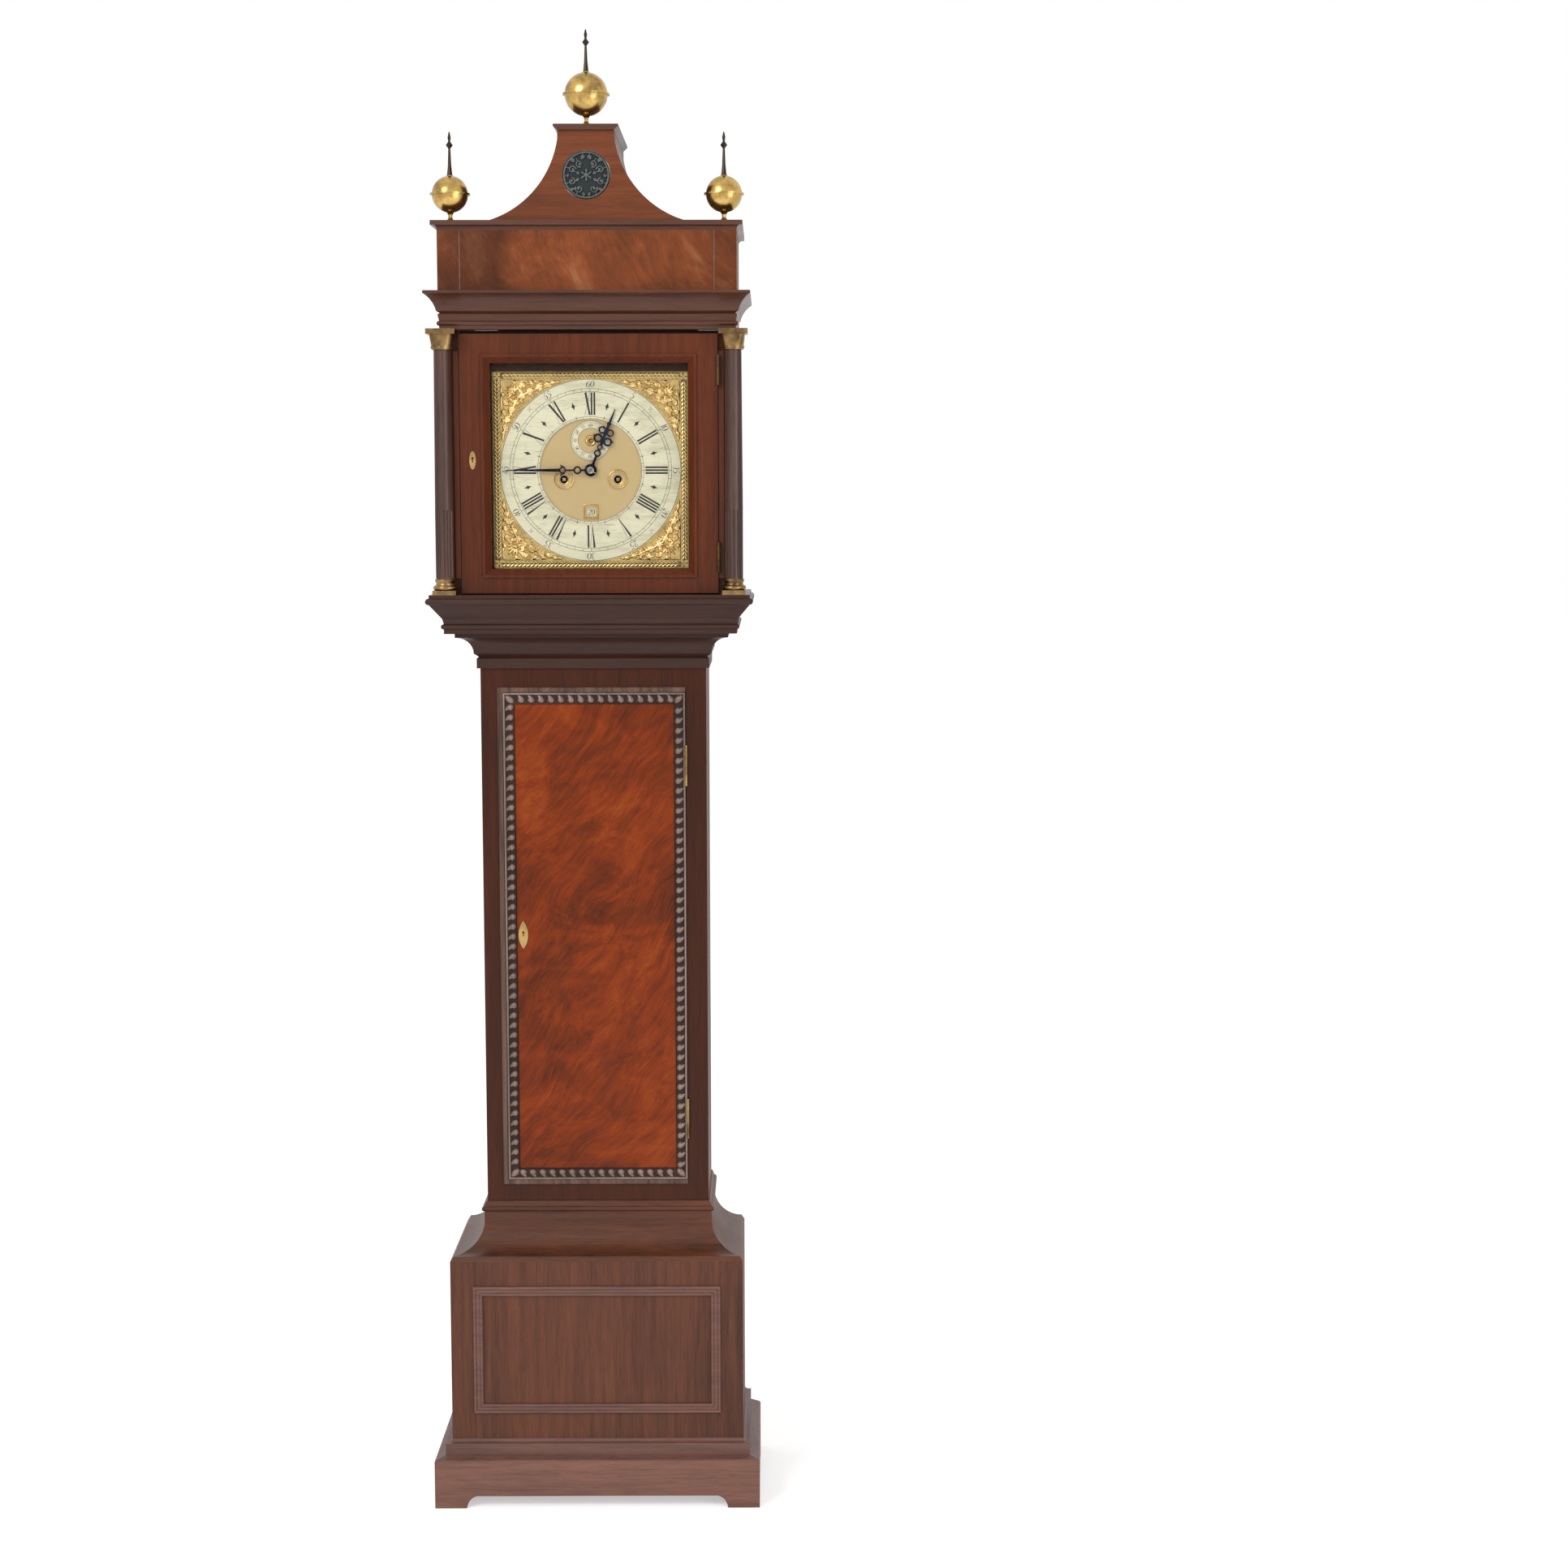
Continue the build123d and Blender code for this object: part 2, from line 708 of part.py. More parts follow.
def crest_face():
    """The face of the crest: flat foot, two hollow sides and a straight neck."""
    with BuildSketch(mode=Mode.PRIVATE) as outline:
        with BuildLine():
            Line((-crest_half_width, crest_bottom), (crest_half_width, crest_bottom))
            for side in (-1, 1):
                ThreePointArc(
                    (side * crest_half_width, crest_bottom),
                    (side * curve_middle_x, curve_middle_z),
                    (side * crest_neck_half_width, shoulder),
                )
                Line((side * crest_neck_half_width, shoulder), (side * crest_neck_half_width, crest_top))
            Line((-crest_neck_half_width, crest_top), (crest_neck_half_width, crest_top))
        make_face()
    return outline.sketch


roundel_centre = crest_bottom + roundel_height
with BuildPart() as pagoda_front:
    with BuildSketch(front_plane(crest_front - crest_board)):
        add(crest_face())
        with Locations((0, roundel_centre)):
            Circle(roundel_radius, mode=Mode.SUBTRACT)
    extrude(amount=crest_board)
keep(pagoda_front, "pagoda_front")

# Pagoda roof: hollow boards behind the crest, and the small cap that crowns both
with BuildPart() as pagoda_roof:
    with BuildSketch(front_plane(joint_gap)):
        add(crest_face())
        offset(amount=-roof_board, kind=Kind.INTERSECTION, mode=Mode.SUBTRACT)
    extrude(amount=crest_front - crest_board - joint_gap)
    with BuildSketch(front_plane(joint_gap)):
        with BuildLine():
            cap_x = crest_neck_half_width + crest_cap_projection
            cap_lip = 3
            Line((-crest_neck_half_width, crest_top), (crest_neck_half_width, crest_top))
            for side in (-1, 1):
                Line(
                    (side * crest_neck_half_width, crest_top),
                    (side * cap_x, summit - cap_lip),
                )
                Line((side * cap_x, summit - cap_lip), (side * cap_x, summit))
            Line((-cap_x, summit), (cap_x, summit))
        make_face()
    extrude(amount=crest_front + crest_cap_projection - joint_gap)
keep(pagoda_roof, "pagoda_roof")

# Pierced roundel: a ring holding six linked loops round a centre ring
with BuildPart() as fret_roundel:
    fret_plane = front_plane(crest_front - 2 - fret_thickness, z=roundel_centre)
    with BuildSketch(fret_plane):
        Circle(roundel_radius - joint_gap)
        Circle(roundel_radius - 3.4, mode=Mode.SUBTRACT)
        with PolarLocations(17.5, 6):
            Circle(10)
        with PolarLocations(17.5, 6):
            Circle(7.6, mode=Mode.SUBTRACT)
        with PolarLocations(30, 6):
            RegularPolygon(4.6, 4)
        Circle(8.5)
        Circle(4.5, mode=Mode.SUBTRACT)
    extrude(amount=fret_thickness)
keep(fret_roundel, "fret_roundel")

# Cloth behind the roundel
with BuildPart() as fret_cloth:
    cloth_back = crest_front - 2 - fret_thickness - cloth_thickness - joint_gap
    with BuildSketch(front_plane(cloth_back, z=roundel_centre)):
        Circle(roundel_radius - joint_gap)
    extrude(amount=cloth_thickness)
keep(fret_cloth, "fret_cloth")


def finial_face(radius, neck, spire):
    """Half the outline of a ball with a seam flange, on a waisted neck under a slender spire."""
    middle = neck + radius
    top = middle + radius
    with BuildSketch(mode=Mode.PRIVATE) as outline:
        with Locations((0, middle)):
            Circle(radius)
            Rectangle(2 * radius + 6, 2.4)
        Polygon(
            (0, 0),
            (7, 0),
            (6, 2),
            (3, neck * 0.45),
            (3.4, neck * 0.8),
            (7, neck + 2),
            (6.5, top - 1.5),
            (4, top + 2),
            (2.6, top + spire * 0.25),
            (1.7, top + spire * 0.62),
            (5.4, top + spire * 0.7),
            (1.6, top + spire * 0.78),
            (2.5, top + spire * 0.88),
            (0.8, top + spire),
            (0, top + spire),
            align=None,
        )
        with Locations((-radius - 5, middle)):
            Rectangle(2 * radius + 10, 4 * (radius + spire), mode=Mode.SUBTRACT)
    return outline.sketch


# Brass ball finials: one on the cap, two on the corner blocks
finial_depth = hood_depth - corner_block_width / 2
with BuildPart() as finials:
    for x, z, radius, neck, spire in (
        (0, summit, ball_radius, ball_neck, spire_height),
        (-side_finial_offset, crest_bottom, side_ball_radius, side_ball_neck, side_spire_height),
        (side_finial_offset, crest_bottom, side_ball_radius, side_ball_neck, side_spire_height),
    ):
        with BuildSketch(front_plane(finial_depth, x=x, z=z)):
            add(finial_face(radius, neck, spire))
        revolve(axis=Axis((x, at_depth(finial_depth), 0), (0, 0, 1)))
keep(finials, "finials")


def add_hinge_half(edge_x, outward, pin_x, pin_depth, leaf_back, centres, length, on_door):
    """One leaf of each butt hinge with its own knuckles; the frame's half carries the pin."""
    third = length / 3
    for centre in centres:
        with Locations((edge_x + outward * hinge_leaf / 2, at_depth((leaf_back + pin_depth) / 2), centre)):
            Box(hinge_leaf, pin_depth - leaf_back, length)
        with Locations((pin_x, at_depth(pin_depth), centre)):
            Cylinder(knuckle_radius, length)
        gaps = (0,) if on_door else (-third, third)
        for gap in gaps:
            with Locations((pin_x, at_depth(pin_depth), centre + gap)):
                Cylinder(knuckle_radius + 0.25, third + 0.3, mode=Mode.SUBTRACT)
        if on_door:
            with Locations((pin_x, at_depth(pin_depth), centre)):
                Cylinder(hinge_pin_radius + pin_clearance, length + 1, mode=Mode.SUBTRACT)
        else:
            with Locations((pin_x, at_depth(pin_depth), centre)):
                Cylinder(hinge_pin_radius, length)


# Hood door: mitred frame with a raised lip sloping in to the glass
glass_half_width = sight_half_width + glass_rebate
glass_half_height = sight_half_height + glass_rebate
with BuildPart() as hood_door_frame:
    with BuildSketch(front_plane(hood_door_back)):
        with Locations((0, hood_door_middle)):
            Rectangle(2 * hood_door_half_width, hood_door_top - hood_door_bottom)
        with Locations((0, sight_centre)):
            Rectangle(2 * sight_half_width, 2 * sight_half_height, mode=Mode.SUBTRACT)
    extrude(amount=hood_door_thickness)
    with BuildSketch(front_plane(hood_door_front, z=sight_centre)):
        Rectangle(2 * (sight_half_width + sight_lip), 2 * (sight_half_height + sight_lip))
        Rectangle(2 * sight_half_width, 2 * sight_half_height, mode=Mode.SUBTRACT)
    extrude(amount=sight_lip_rise)
    lip_front = hood_door_front + sight_lip_rise
    bevel = sight_lip - 4
    with BuildSketch(front_plane(lip_front, z=sight_centre)):
        Rectangle(2 * (sight_half_width + bevel), 2 * (sight_half_height + bevel))
    with BuildSketch(front_plane(lip_front - bevel, z=sight_centre)):
        Rectangle(2 * sight_half_width, 2 * sight_half_height)
    loft(mode=Mode.SUBTRACT)
    with BuildSketch(front_plane(hood_door_back, z=sight_centre)):
        Rectangle(2 * glass_half_width, 2 * glass_half_height)
    extrude(amount=5 + glass_thickness, mode=Mode.SUBTRACT)
    cut_leaf_beds(
        hood_door_half_width, -1, hood_leaf_back, hood_pin_depth, hood_hinge_centres, hood_hinge_length
    )
keep(hood_door_frame, "hood_door_frame")

# Hood door glass, lying in the rebate behind the lip
with BuildPart() as hood_door_glass:
    with BuildSketch(front_plane(hood_door_back + 5, z=sight_centre)):
        Rectangle(2 * (glass_half_width - joint_gap), 2 * (glass_half_height - joint_gap))
    extrude(amount=glass_thickness)
keep(hood_door_glass, "hood_door_glass")

with BuildPart() as hood_door_hinges:
    add_hinge_half(
        hood_door_half_width, -1, hood_pin_x, hood_pin_depth, hood_leaf_back,
        hood_hinge_centres, hood_hinge_length, True,
    )
keep(hood_door_hinges, "hood_door_hinges")

with BuildPart() as hood_hinge_leaves:
    add_hinge_half(
        side_inner, 1, hood_pin_x, hood_pin_depth, hood_leaf_back,
        hood_hinge_centres, hood_hinge_length, False,
    )
keep(hood_hinge_leaves, "hood_hinge_leaves")


def keyhole(z):
    """A round hole over a tapered slot."""
    with Locations((0, z)):
        Circle(1.9, mode=Mode.SUBTRACT)
    with Locations((0, z - 3.2)):
        Rectangle(1.7, 6, mode=Mode.SUBTRACT)


# Keyhole plate on the left stile of the hood door
with BuildPart() as hood_door_escutcheon:
    plate_z = hood_floor + small_plate_lift
    with BuildSketch(front_plane(hood_door_front, x=-small_plate_offset, z=plate_z)):
        Ellipse(small_plate_width / 2, small_plate_height / 2)
        keyhole(3)
    extrude(amount=1.2)
keep(hood_door_escutcheon, "hood_door_escutcheon")

# Trunk door: board with an overlapping rounded lip on three sides
border_left = -(leaf_edge - lip_inset)
border_low = door_low + lip_inset
border_high = door_high - lip_inset
border_middle_x = (border_left + leaf_edge) / 2
border_wide = leaf_edge - border_left
border_tall = border_high - border_low
notch = knuckle_radius + 1
with BuildPart() as trunk_door_panel:
    with BuildSketch(front_plane(door_back)):
        with Locations((0, door_middle)):
            Rectangle(2 * leaf_edge, door_high - door_low)
    extrude(amount=door_thickness)
    with BuildSketch(front_plane(door_front)):
        lip_out = leaf_edge + lip_width
        with Locations(((leaf_edge - lip_out) / 2, door_middle)):
            Rectangle(lip_out + leaf_edge, door_high - door_low + 2 * lip_width)
        with Locations((border_middle_x, door_middle)):
            Rectangle(border_wide, border_tall, mode=Mode.SUBTRACT)
        with Locations((leaf_edge, door_middle)):
            Rectangle(2 * notch, border_tall, mode=Mode.SUBTRACT)
    extrude(amount=lip_rise)
    lip_edges = trunk_door_panel.faces().sort_by(Axis.Y)[0].outer_wire().edges()
    fillet(lip_edges.filter_by(lambda edge: edge.length > 60), lip_rise * 0.6)
    cut_leaf_beds(leaf_edge, -1, trunk_leaf_back, trunk_pin_depth, trunk_hinge_centres, trunk_hinge_length)
keep(trunk_door_panel, "trunk_door_panel")

# Border moulding planted round the door panel, its crest towards the panel
with BuildPart() as trunk_door_border:
    with BuildSketch(front_plane(door_front)):
        with Locations((border_middle_x, door_middle)):
            Rectangle(border_wide, border_tall)
            Rectangle(border_wide - 2 * border_width, border_tall - 2 * border_width, mode=Mode.SUBTRACT)
    extrude(amount=border_rise)
    border_face = trunk_door_border.faces().sort_by(Axis.Y)[0]
    chamfer(border_face.outer_wire().edges(), border_rise * 0.5, border_rise * 0.9)
    border_face = trunk_door_border.faces().sort_by(Axis.Y)[0]
    fillet(border_face.inner_wires().edges(), border_rise * 0.4)
    for centre in trunk_hinge_centres:
        with Locations((leaf_edge, at_depth(door_front + border_rise), centre)):
            Box(2 * notch, 4 * border_rise, trunk_hinge_length + 2, mode=Mode.SUBTRACT)
keep(trunk_door_border, "trunk_door_border")

with BuildPart() as trunk_door_hinges:
    add_hinge_half(
        leaf_edge, -1, trunk_pin_x, trunk_pin_depth, trunk_leaf_back,
        trunk_hinge_centres, trunk_hinge_length, True,
    )
keep(trunk_door_hinges, "trunk_door_hinges")

with BuildPart() as trunk_hinge_leaves:
    add_hinge_half(
        door_half_width, 1, trunk_pin_x, trunk_pin_depth, trunk_leaf_back,
        trunk_hinge_centres, trunk_hinge_length, False,
    )
keep(trunk_hinge_leaves, "trunk_hinge_leaves")

# Almond keyhole plate on the trunk door, beside the border
with BuildPart() as trunk_door_escutcheon:
    with BuildSketch(front_plane(door_front, x=-almond_offset, z=trunk_bottom + almond_lift)):
        with BuildLine():
            half = almond_width / 2
            tall = almond_height / 2
            ThreePointArc((0, tall), (half, 0), (0, -tall))
            ThreePointArc((0, tall), (-half, 0), (0, -tall))
        make_face()
        keyhole(4)
    extrude(amount=1.5)
keep(trunk_door_escutcheon, "trunk_door_escutcheon")

# Dial plate: turned winding rings, calendar window, feet and the calendar ring's keepers
plate_back = dial_depth - dial_thickness
winding_z = dial_centre - winding_drop
window_z = dial_centre - calendar_drop
calendar_front = plate_back - 0.5
calendar_thickness = 2.2
calendar_back = calendar_front - calendar_thickness
foot_offset = 62
with BuildPart() as dial_plate:
    with BuildSketch(front_plane(plate_back, z=dial_centre)):
        Rectangle(2 * dial_half, 2 * dial_half)
        Circle(dial_hole, mode=Mode.SUBTRACT)
        with Locations((0, seconds_lift)):
            Circle(2.8, mode=Mode.SUBTRACT)
        with Locations((-winding_offset, -winding_drop), (winding_offset, -winding_drop)):
            Circle(winding_hole, mode=Mode.SUBTRACT)
        with Locations((0, -calendar_drop)):
            Rectangle(window_width, window_height, mode=Mode.SUBTRACT)
    extrude(amount=dial_thickness)
    with BuildSketch(front_plane(dial_depth, z=winding_z)):
        with Locations((-winding_offset, 0), (winding_offset, 0)):
            Circle(winding_ring)
            Circle(winding_ring - 1.8, mode=Mode.SUBTRACT)
    extrude(amount=0.8)
    with BuildSketch(front_plane(dial_depth, z=winding_z)):
        with Locations((-winding_offset, 0), (winding_offset, 0)):
            Circle(winding_ring - 4)
            Circle(winding_hole + 2, mode=Mode.SUBTRACT)
    extrude(amount=0.8)
    with BuildSketch(front_plane(dial_depth, z=window_z)):
        Rectangle(window_width + 8, window_height + 10.6)
        Rectangle(window_width, window_height, mode=Mode.SUBTRACT)
    extrude(amount=0.6)
    with Locations(front_plane(plate_front_depth, z=dial_centre)):
        with GridLocations(2 * foot_offset, 2 * foot_offset, 2, 2):
            Cylinder(3.5, plate_back - plate_front_depth, align=(Align.CENTER, Align.CENTER, Align.MIN))
    keeper_back = calendar_back - 1.8
    with Locations(front_plane(keeper_back, z=dial_centre)):
        with PolarLocations(calendar_outer + 2.4, 3, start_angle=30):
            Cylinder(2, plate_back - keeper_back, align=(Align.CENTER, Align.CENTER, Align.MIN))
            Cylinder(4, 1.4, align=(Align.CENTER, Align.CENTER, Align.MIN))
keep(dial_plate, "dial_plate")

with BuildPart() as chapter_ring:
    with BuildSketch(front_plane(dial_depth, z=dial_centre)):
        Circle(chapter_outer)
        Circle(chapter_inner, mode=Mode.SUBTRACT)
    extrude(amount=chapter_thickness)
keep(chapter_ring, "chapter_ring")

with BuildPart() as seconds_ring:
    with BuildSketch(front_plane(dial_depth, z=dial_centre + seconds_lift)):
        Circle(seconds_outer)
        Circle(seconds_inner, mode=Mode.SUBTRACT)
    extrude(amount=seconds_thickness)
keep(seconds_ring, "seconds_ring")

# Corner spandrels: pierced scrollwork swelling towards the corner and hugging the ring
spandrel_edge = dial_half - 12
spandrel_thickness = 2.2
lobes = (25, 29, 34, 39.5, 45, 50.5, 56, 61, 65)
with BuildPart() as spandrels:
    with BuildSketch(front_plane(dial_depth, z=dial_centre)):
        for corner in (0, 90, 180, 270):
            for angle in lobes:
                room = spandrel_edge / cos(radians(min(angle, 90 - angle))) - chapter_outer - 1
                lobe = room / 2
                with PolarLocations(chapter_outer + 1 + lobe, 1, start_angle=corner + angle):
                    RegularPolygon(lobe, 9)
                    RegularPolygon(lobe * 0.5, 5, mode=Mode.SUBTRACT)
    extrude(amount=spandrel_thickness)
keep(spandrels, "spandrels")


def toothed_face(teeth, pitch_radius, phase, tip=0.18, waist=0.44, rise=0.9, fall=1.25):
    """A wheel outline; tip and waist are tooth widths as shares of the pitch."""
    module = 2 * pitch_radius / teeth
    pitch = 360 / teeth
    foot = 2 * waist - tip
    corners = []
    for tooth in range(teeth):
        middle = phase + tooth * pitch
        for share, radius in (
            (-foot, pitch_radius - fall * module),
            (-tip, pitch_radius + rise * module),
            (tip, pitch_radius + rise * module),
            (foot, pitch_radius - fall * module),
        ):
            angle = radians(middle + share * pitch / 2)
            corners.append((radius * cos(angle), radius * sin(angle)))
    with BuildSketch(mode=Mode.PRIVATE) as outline:
        Polygon(*corners, align=None)
    return outline.sketch


def pinion_face(pitch_radius, phase):
    """A six-leaved pinion outline with thin leaves."""
    return toothed_face(pinion_leaves, pitch_radius, phase, tip=0.16, waist=0.25, rise=0.62, fall=1.5)


def crossed_wheel(teeth, pitch_radius, phase, hub):
    """A wheel face crossed out to four spokes, or solid where it is small."""
    with BuildSketch(mode=Mode.PRIVATE) as outline:
        add(toothed_face(teeth, pitch_radius, phase))
        rim = pitch_radius * 0.84
        reach = (rim - hub) / 2
        with PolarLocations(hub + reach, 4, start_angle=45):
            RegularPolygon(reach, 7, mode=Mode.SUBTRACT)
    return outline.sketch


def add_rod(x, z, back, front, radius):
    """A round rod lying front to back."""
    with Locations((x, at_depth((back + front) / 2), z)):
        Cylinder(radius, front - back, rotation=(90, 0, 0))


# Places of the arbors, seen from the front with the dial centre as zero
centre_spot = (0, dial_centre)
going_spot = (winding_offset, winding_z)
strike_spot = (-winding_offset, winding_z)
escape_spot = (0, dial_centre + seconds_lift)
anchor_spot = (0, dial_centre + seconds_lift + anchor_rise)
great_radius = hypot(winding_offset, winding_drop) * great_teeth / (great_teeth + pinion_leaves)
centre_pinion_radius = great_radius * pinion_leaves / great_teeth
centre_radius = centre_module * centre_teeth / 2
third_pinion_radius = centre_module * pinion_leaves / 2
third_radius = third_module * third_teeth / 2
escape_pinion_radius = third_module * pinion_leaves / 2
centre_reach = centre_radius + third_pinion_radius
escape_reach = third_radius + escape_pinion_radius
third_rise = (centre_reach**2 - escape_reach**2 + seconds_lift**2) / (2 * seconds_lift)
third_x = sqrt(centre_reach**2 - third_rise**2)
third_spot = (third_x, dial_centre + third_rise)
hour_radius = hour_module * hour_teeth / 2
minute_pinion_radius = hour_module * pinion_leaves / 2
motion_reach = hour_radius + minute_pinion_radius
minute_spot = (0, dial_centre - motion_reach)

# Places of the wheels between the plates, front to back
front_inner = plate_front_depth - plate_thickness
back_inner = front_inner - plate_gap
back_outer = back_inner - plate_thickness
shoulder_gap = 0.3
great_front = front_inner - 2
barrel_front = great_front - wheel_thickness - 1.5
barrel_back = barrel_front - barrel_length
barrel_middle = (barrel_front + barrel_back) / 2
centre_wheel_back = back_inner + 14
third_wheel_back = back_inner + 40
escape_wheel_back = back_inner + 50


def bearing(spot, other):
    """The direction from one arbor to another, counter-clockwise from the right."""
    return degrees(atan2(other[1] - spot[1], other[0] - spot[0]))


half_leaf = 180 / pinion_leaves

# Front plate, pierced for every arbor that comes through
plate_middle = seat_top + plate_height / 2
with BuildPart() as front_plate:
    with BuildSketch(front_plane(front_inner)):
        with Locations((0, plate_middle)):
            Rectangle(2 * plate_half_width, plate_height)
        with Locations(going_spot, strike_spot):
            Circle(barrel_arbor_radius + pivot_clearance, mode=Mode.SUBTRACT)
        with Locations(centre_spot, escape_spot):
            Circle(arbor_radius + pivot_clearance, mode=Mode.SUBTRACT)
        with Locations(third_spot, anchor_spot):
            Circle(pivot_radius + pivot_clearance, mode=Mode.SUBTRACT)
    extrude(amount=plate_thickness)
    add_rod(*minute_spot, plate_front_depth, plate_front_depth + 12, stud_radius)
keep(front_plate, "front_plate")

# Back plate with its five riveted pillars and the cock that hangs the pendulum
hammer_spot = (-45, seat_top + plate_height - 24)
cock_top = anchor_spot[1] + 17
with BuildPart() as back_plate:
    with BuildSketch(front_plane(back_outer)):
        with Locations((0, plate_middle)):
            Rectangle(2 * plate_half_width, plate_height)
        with Locations(going_spot, strike_spot):
            Circle(barrel_arbor_radius + pivot_clearance, mode=Mode.SUBTRACT)
        with Locations(centre_spot, escape_spot, third_spot, hammer_spot):
            Circle(pivot_radius + pivot_clearance, mode=Mode.SUBTRACT)
        with Locations(anchor_spot):
            Circle(arbor_radius + 1, mode=Mode.SUBTRACT)
    extrude(amount=plate_thickness)
    pillar_x = plate_half_width - pillar_inset
    for x, z in (
        (-pillar_x, seat_top + pillar_inset),
        (pillar_x, seat_top + pillar_inset),
        (-pillar_x, seat_top + plate_height - pillar_inset),
        (pillar_x, seat_top + plate_height - pillar_inset),
        (0, seat_top + pillar_inset),
    ):
        add_rod(x, z, back_inner, front_inner, pillar_radius)
    cock_back = pendulum_depth - 6
    web_back = pendulum_depth + 7
    with Locations((0, at_depth((cock_back + back_outer) / 2), cock_top - 4)):
        Box(28, back_outer - cock_back, 8)
    with Locations((0, at_depth(web_back + 2), cock_top - 12)):
        Box(12, 4, 24)
    with Locations((0, at_depth(pendulum_depth), cock_top - 8)):
        Box(14, 10, 16)
        Box(1.2, 12, 17, mode=Mode.SUBTRACT)
    with Locations((0, at_depth(web_back + 2), anchor_spot[1])):
        Cylinder(pivot_radius + pivot_clearance, 5, rotation=(90, 0, 0), mode=Mode.SUBTRACT)
keep(back_plate, "back_plate")

# Seat board on the trunk cheeks, slotted for the lines, which leave each barrel on its left
line_offset = barrel_radius + line_radius + shoulder_gap
with BuildPart() as seat_board:
    with BuildSketch(Plane.XY.offset(seat_bottom)):
        seat_back = back_outer - 7
        seat_front = plate_front_depth + 10
        with Locations((0, at_depth((seat_back + seat_front) / 2))):
            Rectangle(2 * trunk_half_width, seat_front - seat_back)
        for spot in (going_spot, strike_spot):
            line_x = spot[0] - line_offset
            with Locations((line_x, at_depth(barrel_middle))):
                Rectangle(10, barrel_length, mode=Mode.SUBTRACT)
            with Locations((line_x + 2 * pulley_radius, at_depth(barrel_middle))):
                Circle(line_radius + 0.7, mode=Mode.SUBTRACT)
    extrude(amount=seat_board_thickness)
keep(seat_board, "seat_board")

# Great wheels and barrels of the going and striking sides
for spot, pitch_radius, phase, train in (
    (going_spot, great_radius, bearing(going_spot, centre_spot), "going"),
    (strike_spot, strike_great_radius, 0, "strike"),
):
    with BuildPart() as great_wheel:
        with BuildSketch(front_plane(great_front - wheel_thickness, *spot)):
            add(crossed_wheel(great_teeth, pitch_radius, phase, 9))
            Circle(barrel_arbor_radius + pivot_clearance, mode=Mode.SUBTRACT)
        extrude(amount=wheel_thickness)
    keep(great_wheel, f"{train}_great_wheel")
    with BuildPart() as barrel:
        add_rod(*spot, barrel_back, barrel_front, barrel_radius)
        add_rod(*spot, barrel_back, barrel_back + 1.5, barrel_flange)
        add_rod(*spot, barrel_front - 1.5, barrel_front, barrel_flange)
        add_rod(*spot, back_outer + 0.5, plate_front_depth, barrel_arbor_radius)
        with Locations((spot[0], at_depth((plate_front_depth + dial_depth) / 2), spot[1])):
            Box(winding_square, dial_depth - plate_front_depth, winding_square)
    keep(barrel, f"{train}_barrel")

# Centre wheel: arbor with pinion, wheel, and the cannon that carries the minute hand
minute_hand_back = dial_depth + 8.5
cannon_depth = plate_front_depth + 3
with BuildPart() as centre_wheel:
    with BuildSketch(front_plane(centre_wheel_back, *centre_spot)):
        add(crossed_wheel(centre_teeth, centre_radius, bearing(centre_spot, third_spot), 6))
    extrude(amount=wheel_thickness)
    with BuildSketch(front_plane(great_front - wheel_thickness - 1, *centre_spot)):
        add(pinion_face(centre_pinion_radius, bearing(centre_spot, going_spot) + half_leaf))
    extrude(amount=wheel_thickness + 2)
    add_rod(*centre_spot, back_outer + 0.5, back_inner + shoulder_gap, pivot_radius)
    add_rod(*centre_spot, back_inner + shoulder_gap, minute_hand_back + 4, arbor_radius)
    with BuildSketch(front_plane(cannon_depth, *centre_spot)):
        add(toothed_face(cannon_teeth, motion_reach / 2, 90))
    extrude(amount=wheel_thickness)
    add_rod(*centre_spot, cannon_depth, minute_hand_back, cannon_pipe)
    with Locations((0, at_depth(minute_hand_back + 3.3), dial_centre)):
        Cylinder(0.4, 8, rotation=(0, 90, 0))
keep(centre_wheel, "centre_wheel")

# Minute wheel of the motion work with its pinion, turning on a stud
with BuildPart() as minute_wheel:
    with BuildSketch(front_plane(cannon_depth, *minute_spot)):
        add(toothed_face(cannon_teeth, motion_reach / 2, 90 + 180 / cannon_teeth))
    extrude(amount=wheel_thickness)
    with BuildSketch(front_plane(cannon_depth + wheel_thickness, *minute_spot)):
        add(toothed_face(pinion_leaves, minute_pinion_radius, 90 + half_leaf, 0.16, 0.25, 0.62, 0.9))
    extrude(amount=5)
    with Locations((0, at_depth(cannon_depth + 4), minute_spot[1])):
        Cylinder(stud_radius + pivot_clearance, 12, rotation=(90, 0, 0), mode=Mode.SUBTRACT)
keep(minute_wheel, "minute_wheel")

# Hour wheel with the pipe that carries the hour hand
hour_wheel_depth = cannon_depth + wheel_thickness + 1.5
hour_hand_back = dial_depth + 4.5
pipe_radius = 5.2
with BuildPart() as hour_wheel:
    with BuildSketch(front_plane(hour_wheel_depth, *centre_spot)):
        add(crossed_wheel(hour_teeth, hour_radius, 90, 8))
    extrude(amount=wheel_thickness)
    add_rod(*centre_spot, hour_wheel_depth, hour_hand_back, pipe_radius)
    with Locations((0, at_depth((hour_wheel_depth + hour_hand_back) / 2), dial_centre)):
        Cylinder(
            cannon_pipe + pivot_clearance,
            hour_hand_back - hour_wheel_depth + 2,
            rotation=(90, 0, 0),
            mode=Mode.SUBTRACT,
        )
keep(hour_wheel, "hour_wheel")

